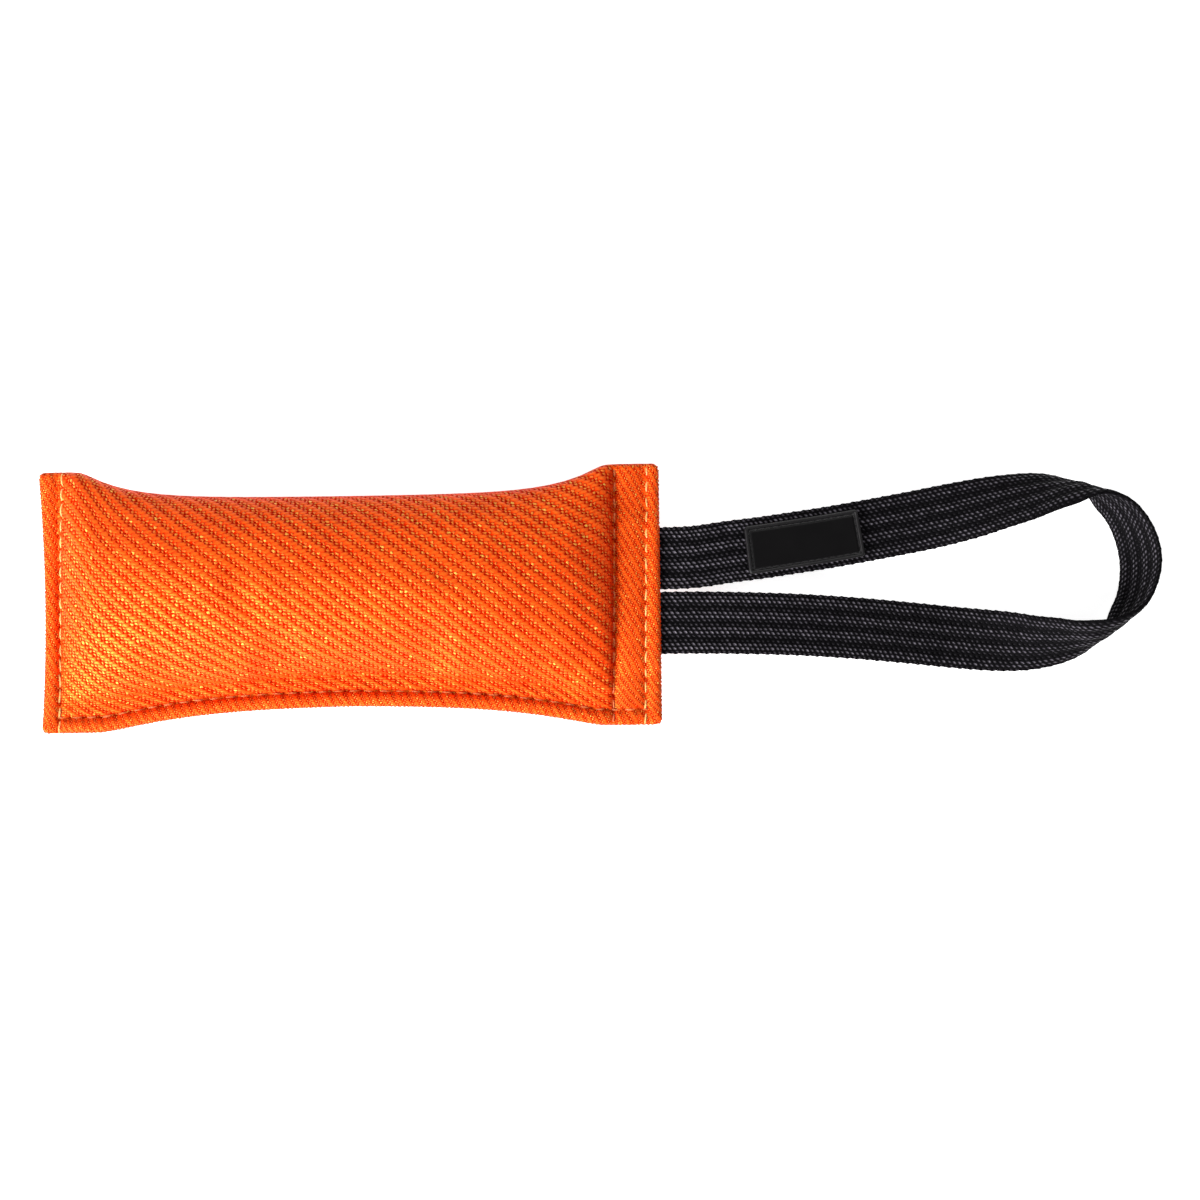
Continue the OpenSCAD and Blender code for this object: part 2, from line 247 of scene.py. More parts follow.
class CoverSettings(bpy.types.PropertyGroup):
    """Shape and weave of the stuffed cover"""
    fold_draw: length_setting("Fold draw", "How far the folded side draws in at mid-length", 0.009)
    hem_draw: length_setting("Hem draw", "How far the hemmed side draws in at mid-length", 0.0075)
    end_draw: length_setting("End draw", "How far the plain end's edge draws in at its middle",
                             0.0016)
    long_hem: length_setting("Long hem", "Width of the turned-in allowance on the long side", 0.010)
    hem_half: length_setting("Half hem", "Half the thickness of the hems", 0.0016)
    hem_half_webbing: length_setting("Half hem over webbing",
                                     "Half the hem's thickness over the webbing's ends", 0.00255)
    corner: length_setting("Corner radius", "Radius of the hems' corners", 0.0025)
    grid: length_setting("Grid", "Spacing of the cover's mesh", 0.0006)
    column: length_setting("Column pitch", "Spacing of the yarns that run across the bumper",
                           0.00134)
    row: length_setting("Row pitch", "Spacing of the yarns that run along the bumper", 0.001085)
    rib: length_setting("Rib height", "Height of the twill's diagonal ribs", 0.00034)
    # painted light: fibre and shade are lit and shaded copies of one yarn colour, mixed by the
    # floats' height
    fibre: colour_setting("Fibre", "Colour of the yarns on top", "#F84208")
    shade: colour_setting("Shade", "Colour of the yarns beside the ribs", "#D02000")
    # gap: painted shade deep in the holes between the yarns, in the seams' creases and beside the
    # inner row
    gap: colour_setting("Gap", "Colour deep between the yarns", "#AC0A00")
    bead: colour_setting("Bead", "Colour of the beads between the ribs", "#FF6E30")
    # glint: a painted highlight on a few beads
    glint: colour_setting("Glint", "Colour of the few beads that shine", "#FFBC54")
    roll: length_setting("Hem roll", "How far the hems' plies stand up between edge and seam",
                         0.0009)
    crease: length_setting("Crease", "How deep the seams pull the cloth in", 0.0013)
    relief: length_setting("Relief", "Height of the yarns over the holes between them", 0.0003)


class WebbingSettings(bpy.types.PropertyGroup):
    """The flat webbing of the loop"""
    width: length_setting("Width", "Width of the webbing", round(TAIL_HI.y - TAIL_LO.y, 5))
    thickness: length_setting("Thickness", "Thickness of the webbing",
                              round(TAIL_HI.z - TAIL_LO.z, 5))
    pick: length_setting("Pick", "Spacing of the yarn crowns along the webbing", 0.00171)
    end: length_setting("End", "Spacing of the warp yarns across the webbing", 0.00126)
    band: length_setting("Band", "Spacing of the raised bands across the webbing", 0.00505)
    # yarn is the crowns' colour with a painted highlight; deep is the near black between them
    yarn: colour_setting("Yarn", "Colour of the yarn crowns", "#605A65")
    deep: colour_setting("Deep", "Colour between the yarns", "#09080A")


class LabelSettings(bpy.types.PropertyGroup):
    """The moulded label on the loop, left bare"""
    length: length_setting("Length", "Length of the label", 0.039)
    width: length_setting("Width", "Width of the label", 0.0155)
    thickness: length_setting("Thickness", "Thickness of the label's rim", 0.0014)
    corner: length_setting("Corner radius", "Radius of the label's corners", 0.0012)
    rubber: colour_setting("Rubber", "Colour of the rubber", "#090809")


class ThreadSettings(bpy.types.PropertyGroup):
    """The sewing thread"""
    stitch: length_setting("Stitch", "Length of one stitch", 0.005)
    diameter: length_setting("Diameter", "Thickness of the thread", 0.00065)
    seed: IntProperty(name="Seed", description="Seed of the stitches' small differences", default=7)
    open_thread: colour_setting("Open thread", "Colour of the thread where it lies open", "#FABB66")
    # the sunk thread is the open thread's colour painted darker, a painted shade
    shaded_thread: colour_setting("Sunk thread", "Colour of the thread where it sinks in", "#E8702A")
    label_thread: colour_setting("Label thread", "Colour of the thread in the label", "#161416")


class StageSettings(bpy.types.PropertyGroup):
    """Camera, lamps and floor"""
    camera_place: FloatVectorProperty(name="Camera place", description="Where the camera stands",
                                      default=(0.07995, -0.00167, 1.1), size=3,
                                      subtype="TRANSLATION", unit="LENGTH")
    camera_roll: FloatProperty(name="Camera roll", default=math.radians(-0.85), subtype="ANGLE",
                               description="Turn of the camera about its line of sight")
    lens: FloatProperty(name="Lens", description="Focal length in millimetres", default=101.256)
    sensor: FloatProperty(name="Sensor", description="Sensor width in millimetres", default=36.0)
    key: FloatProperty(name="Key", default=52.0, unit="POWER",
                       description="Power of the large lamp at the plain end's hem side")
    fill: FloatProperty(name="Fill", description="Power of the lamp at the fold side", default=13.0,
                        unit="POWER")
    sky: FloatProperty(name="Sky", description="Strength of the even light from all round",
                       default=0.42)
    floor: colour_setting("Floor", "Colour of the floor", "#E6E6E6")


class BumperSettings(bpy.types.PropertyGroup):
    """All settings of the training bumper"""
    cover: PointerProperty(type=CoverSettings, name="Cover", description="The stuffed cover")
    webbing: PointerProperty(type=WebbingSettings, name="Webbing", description="The loop's webbing")
    label: PointerProperty(type=LabelSettings, name="Label", description="The label on the loop")
    thread: PointerProperty(type=ThreadSettings, name="Thread", description="The sewing thread")
    stage: PointerProperty(type=StageSettings, name="Stage",
                           description="Camera, lamps and floor")


# ---- Camera and image points ----

def camera_turn(stage):
    """The camera looks straight down, turned about its line of sight by its roll."""
    return Matrix.Rotation(stage.camera_roll, 3, "Z")


def sight(point, stage):
    """Start and direction of the ray through an image point."""
    x, y = point
    ray = Vector((x - IMAGE / 2, IMAGE / 2 - y, -IMAGE * stage.lens / stage.sensor))
    return Vector(stage.camera_place), (camera_turn(stage) @ ray).normalized()


def seen_at(places, stage):
    """Image points, in pixels, at which places show."""
    turned = np.asarray(places, float) - np.array(stage.camera_place)
    turned = turned @ np.array(camera_turn(stage))
    scale = IMAGE * stage.lens / stage.sensor / -turned[:, 2]
    return np.stack([IMAGE / 2 + turned[:, 0] * scale, IMAGE / 2 - turned[:, 1] * scale], 1)


def surface_tree(name):
    """A search tree of a finished piece, as placed."""
    mesh = bpy.data.objects[name].data
    return BVHTree.FromPolygons([v.co for v in mesh.vertices],
                                [tuple(p.vertices) for p in mesh.polygons])


def place_point(name, tree, stage):
    """The place that an image point names on a finished piece. Where the ray misses, it is the
    place nearest the ray, searched at every millimetre up to 60 mm of height."""
    start, way = sight(POINTS[name], stage)
    place = tree.ray_cast(start, way)[0]
    if place is not None:
        return place
    found = []
    for k in range(60):
        near, _, _, gap = tree.find_nearest(start + way * ((start.z - k * MM) / -way.z))
        found.append((gap, tuple(near)))
    return Vector(min(found)[1])


# ---- Materials ----

MATH, VECTOR_MATH = "ShaderNodeMath", "ShaderNodeVectorMath"
RANGE, MIX, NOISE = "ShaderNodeMapRange", "ShaderNodeMix", "ShaderNodeTexNoise"


def emptied(owner):
    """The emptied node tree of a material or a world."""
    owner.use_nodes = True
    owner.node_tree.nodes.clear()
    return owner.node_tree


def new_material(name):
    """An empty material with its output and shader, and the shader linked to the output."""
    made = bpy.data.materials.new(name)
    tree = emptied(made)
    shader = add(tree, "ShaderNodeBsdfPrincipled")
    add(tree, "ShaderNodeOutputMaterial", {"Surface": shader.outputs["BSDF"]})
    return made, tree, shader


def pushed(tree, places, uv, scale, detail, reach):
    """Cloth places pushed about by noise. scale counts its patches per millimetre, and reach is
    its whole span in millimetres, of which most places move by much less."""
    noise = add(tree, NOISE, {"Vector": uv, "Scale": scale, "Detail": detail})
    off = add(tree, VECTOR_MATH, {0: noise.outputs["Color"], 1: (0.5, 0.5, 0.5)},
              operation="SUBTRACT")
    return add(tree, VECTOR_MATH, {0: off, 1: (reach, reach, 0.0), 2: places},
               operation="MULTIPLY_ADD")


def hump(tree, place, turn, power):
    """The crown of a yarn: a sine that rises and falls once, steeper or flatter by its power."""
    wave = add(tree, MATH, {0: place, 1: turn}, operation="MULTIPLY")
    wave = add(tree, MATH, {0: wave}, operation="SINE", use_clamp=True)
    return add(tree, MATH, {0: wave, 1: power}, operation="POWER")


def spot(tree, across, up, rim, core, where, lean=None):
    """A round spot about (0, 0), drawn out along a slant by lean: 0 outside rim and 1 inside core,
    which are squares of the distance. It shows only in the cells where where is 1."""
    far = add(tree, MATH, {0: across, 1: across}, operation="MULTIPLY")
    far = add(tree, MATH, {0: up, 1: up, 2: far}, operation="MULTIPLY_ADD")
    if lean:
        slant = add(tree, MATH, {0: across, 1: up}, operation="MULTIPLY")
        far = add(tree, MATH, {0: slant, 1: lean, 2: far}, operation="MULTIPLY_ADD")
    made = add(tree, RANGE, {"Value": far, "From Min": rim, "From Max": core},
               interpolation_type="SMOOTHSTEP")
    return add(tree, MATH, {0: made, 1: where}, operation="MULTIPLY")


def twill_material(cover):
    """Coarse polyester twill of smooth multifilament yarns. The yarns that run along the bumper
    float over two others and make smooth diagonal ribs, whose tops are painted lighter and whose
    sides are painted in shade. The yarns that run across it show between the ribs as two rows of
    small beads, with dark red holes in painted shade beside them. Some beads carry a painted pale
    yellow highlight, and the seams' creases are painted in shade."""
    made, tree, shader = new_material("polyester_twill_orange")
    uv = add(tree, "ShaderNodeUVMap", uv_map="cloth_mm")
    # the yarns wander, and each cell of the weave is pushed a little out of shape
    moved = pushed(tree, uv, uv, 0.45, 2.5, 1.2)
    moved = pushed(tree, moved, uv, 1.5, 2.0, 0.8)
    split = add(tree, "ShaderNodeSeparateXYZ", {0: moved})
    u = add(tree, MATH, {0: split.outputs["X"], 1: MM / cover.column}, operation="MULTIPLY")
    v = add(tree, MATH, {0: split.outputs["Y"], 1: MM / cover.row}, operation="MULTIPLY")
    column = add(tree, MATH, {0: u}, operation="FLOOR")
    row = add(tree, MATH, {0: v}, operation="FLOOR")
    # a float along the bumper: it runs over 0 to 2 out of 4, one column further in each row
    run = add(tree, MATH, {0: u, 1: row})
    run = add(tree, MATH, {0: run, 1: TWILL_REPEAT}, operation="FLOORED_MODULO")
    run = hump(tree, run, math.pi / 2, 0.5)
    up = add(tree, MATH, {0: v}, operation="FRACT")
    in_row = add(tree, MATH, {0: up, 1: math.pi}, operation="MULTIPLY")
    in_row = add(tree, MATH, {0: in_row}, operation="SINE")
    in_row = add(tree, MATH, {0: in_row, 1: 0.5, 2: 0.5}, operation="MULTIPLY_ADD")
    float_top = add(tree, MATH, {0: run, 1: in_row}, operation="MULTIPLY")
    # in the other two cells out of four the yarns across the bumper show, as a bead in each cell
    kind = add(tree, MATH, {0: column, 1: row})
    kind = add(tree, MATH, {0: kind, 1: TWILL_REPEAT}, operation="FLOORED_MODULO")
    kind = add(tree, MATH, {0: kind, 1: 1.5}, operation="GREATER_THAN")
    side = add(tree, MATH, {0: u}, operation="FRACT")
    side = add(tree, MATH, {0: side, 1: 2.0, 2: -1.16}, operation="MULTIPLY_ADD")
    rise = add(tree, MATH, {0: up, 1: 2.0, 2: -1.1}, operation="MULTIPLY_ADD")
    # the bead leans along the ribs, and a hole lies at its lower left
    bead = spot(tree, side, rise, 0.8, 0.05, kind, lean=0.5)
    aside = add(tree, MATH, {0: side, 1: 0.8})
    below = add(tree, MATH, {0: rise, 1: 0.62})
    # the hole is painted with the gap colour, a painted shade in the recess between the yarns
    hole = spot(tree, aside, below, 0.75, 0.1, kind)
    # every bead and hole differs by chance
    cell = add(tree, "ShaderNodeCombineXYZ", {0: column, 1: row})
    chance = add(tree, "ShaderNodeTexWhiteNoise", {"Vector": cell}, noise_dimensions="2D")
    other = add(tree, "ShaderNodeSeparateColor", {0: chance.outputs["Color"]})
    open_by = add(tree, RANGE, {"Value": other.outputs[1], "To Min": 0.35, "To Max": 1.25})
    hole = add(tree, MATH, {0: hole, 1: open_by}, operation="MULTIPLY", use_clamp=True)
    # the holes' painted shade is weaker by the plain end's seam: 0.35 of it up to 3 mm inside the
    # seam, full from 14 mm on and in the hem
    place = add(tree, "ShaderNodeTexCoord")
    end = add(tree, "ShaderNodeSeparateXYZ", {0: place.outputs["Object"]})
    slack = add(tree, RANGE, {"Value": end.outputs["X"], "From Min": STUFFED_X0 + 3 * MM,
                              "From Max": STUFFED_X0 + 14 * MM, "To Min": 0.35},
                interpolation_type="SMOOTHSTEP")
    in_hem = add(tree, MATH, {0: end.outputs["X"], 1: STUFFED_X0}, operation="LESS_THAN")
    slack = add(tree, MATH, {0: slack, 1: in_hem}, operation="MAXIMUM")
    hole = add(tree, MATH, {0: hole, 1: slack}, operation="MULTIPLY")
    # painted highlight: a few beads, picked by chance, are painted with the pale glint colour
    shine = add(tree, MATH, {0: chance.outputs["Value"], 1: 8.0}, operation="POWER")
    shine = add(tree, MATH, {0: shine, 1: bead}, operation="MULTIPLY")
    # the ribs' fibres lie in streaks, brighter and duller
    streak = add(tree, VECTOR_MATH, {0: moved, 1: (0.7, 1.9, 0.0)}, operation="MULTIPLY")
    streak = add(tree, NOISE, {"Vector": streak, "Scale": 1.0, "Detail": 3.0, "Roughness": 0.65})
    tone = add(tree, NOISE, {"Vector": uv, "Scale": 0.09, "Detail": 4.0})
    tone = add(tree, MATH, {0: tone.outputs["Fac"], 1: streak.outputs["Fac"]})
    tone = add(tree, MATH, {0: tone, 1: 2.2, 2: -2.2}, operation="MULTIPLY_ADD")
    # painted light: the floats' tops get the fibre colour and the rest the shade colour, a painted
    # shade, with random streaks of tone
    lit = add(tree, MATH, {0: float_top, 1: 1.1, 2: tone}, operation="MULTIPLY_ADD", use_clamp=True)
    round_bead = add(tree, MATH, {0: bead, 1: 0.7}, operation="MULTIPLY")
    # painted shade, read from the crease attribute: the seams' creases and needle holes and the
    # cloth beside the inner row are painted towards the gap colour
    crease = add(tree, "ShaderNodeAttribute", attribute_name="crease")
    dark = add(tree, MATH, {0: crease.outputs["Fac"], 1: 0.85}, operation="MULTIPLY",
               use_clamp=True)
    colour = tuple(cover.shade)
    for share, over in ((lit, cover.fibre), (round_bead, cover.bead), (hole, cover.gap),
                        (shine, cover.glint), (dark, cover.gap)):
        mixed = add(tree, MIX, {0: share, 6: colour, 7: tuple(over)}, data_type="RGBA")
        colour = mixed.outputs[2]
    height = add(tree, MATH, {0: float_top, 1: 0.6, 2: bead}, operation="MULTIPLY_ADD")
    height = add(tree, MATH, {0: hole, 1: -0.5, 2: height}, operation="MULTIPLY_ADD")
    rough = add(tree, RANGE, {"Value": height, "To Min": 0.62, "To Max": 0.4})
    gloss = add(tree, RANGE, {"Value": height, "From Max": 0.6, "To Max": 1.15})
    # seen at a low angle the fibres hide their shine
    low = add(tree, "ShaderNodeLayerWeight", {"Blend": 0.5})
    low = add(tree, RANGE, {"Value": low.outputs["Facing"], "From Min": 0.35, "From Max": 0.85,
                            "To Min": 1.0, "To Max": 0.1})
    gloss = add(tree, MATH, {0: gloss, 1: low}, operation="MULTIPLY")
    bump = add(tree, "ShaderNodeBump", {"Distance": cover.relief, "Height": height})
    # drawn polyester filaments, whose index along the fibre is up to 1.7
    give(tree, shader, {"Base Color": colour, "Roughness": rough, "Specular IOR Level": gloss,
                        "Normal": bump, "IOR": 1.65, "Specular Tint": srgb("#FFD24C"),
                        "Sheen Weight": 0.03, "Sheen Roughness": 0.45,
                        "Sheen Tint": srgb("#FF9A30")})
    return made


def webbing_material(webbing):
    """Black nylon handle webbing, woven flat from thick yarns. Only the crowns of the yarns are
    painted light, a painted highlight in dotted bands, with painted shade in the grooves between
    the bands and a painted change along the legs, and the rest is near black."""
    made, tree, shader = new_material("nylon_webbing_black")
    uv = add(tree, "ShaderNodeUVMap", uv_map="cloth_mm")
    moved = pushed(tree, uv, uv, 0.3, 2.0, 0.6)
    split = add(tree, "ShaderNodeSeparateXYZ", {0: moved})
    a = add(tree, MATH, {0: split.outputs["X"], 1: MM / webbing.pick}, operation="MULTIPLY")
    b = add(tree, MATH, {0: split.outputs["Y"], 1: MM / webbing.end}, operation="MULTIPLY")
    line = add(tree, MATH, {0: b}, operation="FLOOR")
    # neighbouring warp yarns are half a pick apart
    half = add(tree, MATH, {0: line, 1: 0.5, 2: a}, operation="MULTIPLY_ADD")
    across = add(tree, MATH, {0: b}, operation="FRACT")
    # the crowns lean along the webbing
    half = add(tree, MATH, {0: across, 1: -0.45, 2: half}, operation="MULTIPLY_ADD")
    along = add(tree, MATH, {0: half}, operation="FRACT")
    crown = hump(tree, along, math.pi, 2.3)
    width = hump(tree, across, math.pi, 1.4)
    height = add(tree, MATH, {0: crown, 1: width}, operation="MULTIPLY")
    pick = add(tree, MATH, {0: half}, operation="FLOOR")
    cell = add(tree, "ShaderNodeCombineXYZ", {0: pick, 1: line})
    chance = add(tree, "ShaderNodeTexWhiteNoise", {"Vector": cell}, noise_dimensions="2D")
    chance = add(tree, RANGE, {"Value": chance.outputs["Value"], "To Min": 0.5, "To Max": 1.15})
    # raised bands along the webbing, with painted shade in the grooves between them
    wave = add(tree, MATH, {0: split.outputs["Y"], 1: 2 * math.pi * MM / webbing.band},
               operation="MULTIPLY")
    wave = add(tree, MATH, {0: wave}, operation="COSINE")
    band = add(tree, RANGE, {"Value": wave, "From Min": 1.0, "From Max": -0.6, "To Min": 0.26})
    # away from the hem the crowns' painted highlight is painted duller, towards the loop's turn
    from_turn = add(tree, MATH, {0: split.outputs["X"], 1: WEBBING_MIDDLE / MM},
                    operation="SUBTRACT")
    from_turn = add(tree, MATH, {0: from_turn}, operation="ABSOLUTE")
    painted_light_along = add(tree, RANGE, {"Value": from_turn, "From Min": 70.0, "From Max": 150.0,
                             "To Min": 0.66, "To Max": 1.08}, interpolation_type="SMOOTHSTEP")
    # painted light: the crowns' height, the painted shade of the grooves, a random tone for each
    # crown and the painted change along the legs
    lit = height
    for share in (band, chance, painted_light_along):
        lit = add(tree, MATH, {0: lit, 1: share}, operation="MULTIPLY")
    lit = add(tree, RANGE, {"Value": lit, "From Min": 0.1})
    colour = add(tree, MIX, {0: lit, 6: tuple(webbing.deep), 7: tuple(webbing.yarn)},
                 data_type="RGBA")
    rough = add(tree, RANGE, {"Value": height, "To Min": 0.8, "To Max": 0.42})
    bump = add(tree, "ShaderNodeBump", {"Distance": 0.4 * MM, "Height": height})
    gloss = add(tree, RANGE, {"Value": lit, "To Min": 0.03, "To Max": 0.6})
    give(tree, shader, {"Base Color": colour.outputs[2], "Roughness": rough, "Normal": bump,
                        "Specular IOR Level": gloss})
    return made


def rubber_material(label):
    """Soft moulded rubber, matt from the mould, with a faint grain. Its raised rim is painted paler
    than the face, a painted highlight."""
    made, tree, shader = new_material("moulded_rubber_black")
    place = add(tree, "ShaderNodeTexCoord").outputs["Object"]
    grain = add(tree, NOISE, {"Vector": place, "Scale": 2600.0, "Detail": 3.0})
    cloud = add(tree, NOISE, {"Vector": place, "Scale": 130.0, "Detail": 2.0})
    tone = add(tree, RANGE, {"Value": cloud.outputs["Fac"], "To Min": 0.8, "To Max": 1.25})
    rim = add(tree, "ShaderNodeAttribute", attribute_name="rim")
    # painted highlight: the raised rim is painted paler than the face
    painted_rim_light = add(tree, MATH, {0: rim.outputs["Fac"], 1: 1.2, 2: 1.0}, operation="MULTIPLY_ADD")
    tone = add(tree, MATH, {0: tone, 1: painted_rim_light}, operation="MULTIPLY")
    colour = add(tree, VECTOR_MATH, {0: tuple(label.rubber)[:3], 1: tone}, operation="MULTIPLY")
    gloss = add(tree, RANGE, {"Value": rim.outputs["Fac"], "To Min": 0.12, "To Max": 0.32})
    rough = add(tree, RANGE, {"Value": cloud.outputs["Fac"], "To Min": 0.3, "To Max": 0.42})
    bump = add(tree, "ShaderNodeBump", {"Strength": 0.35, "Distance": 0.06 * MM,
                                        "Height": grain.outputs["Fac"]})
    give(tree, shader, {"Base Color": colour, "Roughness": rough, "Specular IOR Level": gloss,
                        "Normal": bump})
    return made


def thread_material(name, colour):
    """Twisted sewing thread: a fine slanted twist and a soft shine."""
    made, tree, shader = new_material(name)
    place = add(tree, "ShaderNodeTexCoord").outputs["Object"]
    twist = add(tree, "ShaderNodeTexWave", {"Vector": place, "Scale": 620.0, "Distortion": 1.5},
                bands_direction="DIAGONAL")
    cloud = add(tree, NOISE, {"Vector": place, "Scale": 160.0})
    # painted shade: the thread is painted darker in its twist's grooves
    fall = add(tree, MATH, {0: twist.outputs["Fac"], 1: 0.35, 2: 0.62}, operation="MULTIPLY_ADD")
    tone = add(tree, MATH, {0: cloud.outputs["Fac"], 1: 0.5, 2: 0.72}, operation="MULTIPLY_ADD")
    tone = add(tree, MATH, {0: fall, 1: tone}, operation="MULTIPLY")
    tint = add(tree, VECTOR_MATH, {0: tuple(colour)[:3], 1: tone}, operation="MULTIPLY")
    bump = add(tree, "ShaderNodeBump", {"Strength": 0.6, "Distance": 0.08 * MM,
                                        "Height": twist.outputs["Fac"]})
    give(tree, shader, {"Base Color": tint, "Normal": bump, "Roughness": 0.5, "Sheen Weight": 0.2})
    return made


def wadding_material():
    """Loose white polyester wadding: soft tufts with shadow between them."""
    made, tree, shader = new_material("polyester_wadding_white")
    place = add(tree, "ShaderNodeTexCoord").outputs["Object"]
    tufts = add(tree, NOISE, {"Vector": place, "Scale": 140.0, "Detail": 6.0, "Roughness": 0.7})
    tufts = tufts.outputs["Fac"]
    colour = add(tree, MIX, {0: tufts, 6: srgb("#C9C6BF"), 7: srgb("#F6F5F0")}, data_type="RGBA")
    bump = add(tree, "ShaderNodeBump", {"Strength": 0.8, "Distance": MM, "Height": tufts})
    give(tree, shader, {"Base Color": colour.outputs[2], "Normal": bump, "Roughness": 0.9})
    return made


# ---- The stuffed cover ----

# The seams' distances from the edges: the plain end's, the long hem's and the handle end's outer
# row, and the handle end's inner row
PLAIN_SEAM, SEAM_IN, HANDLE_SEAM = 6.4 * MM, 4.9 * MM, 15 * MM
STUFFED_X0, STUFFED_X1 = -HALF_L + PLAIN_SEAM, HALF_L - HANDLE_SEAM
STUFFED_MID, STUFFED_HALF = (STUFFED_X0 + STUFFED_X1) / 2, (STUFFED_X1 - STUFFED_X0) / 2
# The twill repeats after this many columns and rows
TWILL_REPEAT = 4
# How the folded and the hemmed side draw in: the straight runs at the plain end and at the handle
# end, the reach of the bend between them, and its steepness
FOLD_BEND = (14.4 * MM, 18.5 * MM, 14 * MM, 1)
HEM_BEND = (19.4 * MM, 19.5 * MM, 29 * MM, 1.2)
# A turned-in hem's edge, in millimetres from the edge, and share of the hem's half thickness: it
# starts deep in the groove between its two folded plies.
PLY_EDGE = ((0.75, 0.0), (0.30, 0.10), (0.06, 0.30), (0.0, 0.52), (0.10, 0.74), (0.42, 0.92),
            (1.0, 1.0))
# The same distances where the edge meets the fold, which has no groove
FOLD_CORNER = ((0.0, 0.0), (0.04, 0.4), (0.12, 0.6), (0.25, 0.76), (0.45, 0.88), (0.70, 0.96),
               (1.0, 1.0))
# Rows close to the fold, in millimetres from it
FOLD_ROWS = (1.15, 0.8, 0.5, 0.26, 0.09, 0.0)
# How full the cover is before the simulation presses it out, and how far that may move it
SLACK, CAP = 0.95, 5 * MM
# The simulation's grid, its voxels, the width of the held edge, and its length in frames
COARSE_GRID, VOXEL, HELD, PRESS_FRAMES = 3 * MM, 4 * MM, 3 * MM, 20
# How strongly each row of stitches pulls, from 0 to 1: the inner row stands at the stuffed part's
# foot
SEAM_HOLD = {"plain": 0.7, "long": 0.8, "inner": 1.0, "outer": 0.4}
# How far the rows across the bumper stay from its hemmed and its folded side
ROW_INSET = (2.2 * MM, 2.6 * MM)
# How much the furrows, the needle holes and the gathered folds count in the seams' pull
PULL_SHARES = (0.7, 0.25, 0.28)
# How far the cloth is drawn together, in millimetres of cloth, and over what distance: towards the
# plain end and towards the long hem
DRAWN_ALONG, DRAWN_ACROSS = (6.0, 12 * MM), (5.4, 6 * MM)
# The turned-in plies' weave lies at another slant and is pushed together
PLY_WEAVE = np.array([[1.5, 0.55], [-0.55, 1.5]])


def drawn_in(x, plain_run, handle_run, reach, steep):
    """Share by which a side has drawn in at x. It runs straight past its corners and then bends."""
    soft = 1.2 * MM
    d = np.minimum(x + HALF_L - plain_run, HALF_L - handle_run - x)
    return 1 - np.exp(-(soft * np.log1p(np.exp(d / soft)) / reach) ** steep)


def fold_line(x, cover):
    return HALF_W - cover.fold_draw * drawn_in(x, *FOLD_BEND)


def hem_line(x, cover):
    return -HALF_W + cover.hem_draw * drawn_in(x, *HEM_BEND)


def cover_grid(step):
    """Columns and rows of the cover's grid. A column is (x, distance from its end or None, share,
    the same two where it meets the fold). A row is (kind, value, share)."""
    edge = [(d * MM, s, c[0] * MM, c[1]) for (d, s), c in zip(PLY_EDGE, FOLD_CORNER)]
    count = int(round((2 * HALF_L - 2 * MM) / step))
    inner = np.linspace(-HALF_L + MM, HALF_L - MM, count + 1)[1:-1]
    columns = [(-HALF_L + e[0], *e) for e in edge]
    columns += [(x, None, 1.0, None, 1.0) for x in inner]
    columns += [(HALF_L - e[0], *e) for e in edge[::-1]]
    rows = [("hem", d * MM, s) for d, s in PLY_EDGE]
    count = int(round(2 * HALF_W / step))
    rows += [("between", k / count, 1.0) for k in range(1, count)]
    rows += [("fold", d * MM, 1.0) for d in FOLD_ROWS]
    return columns, rows


def close_ring(upper, lower):
    """Both skins meet in their outer ring."""
    lower[0], lower[-1] = upper[0], upper[-1]
    lower[:, 0], lower[:, -1] = upper[:, 0], upper[:, -1]


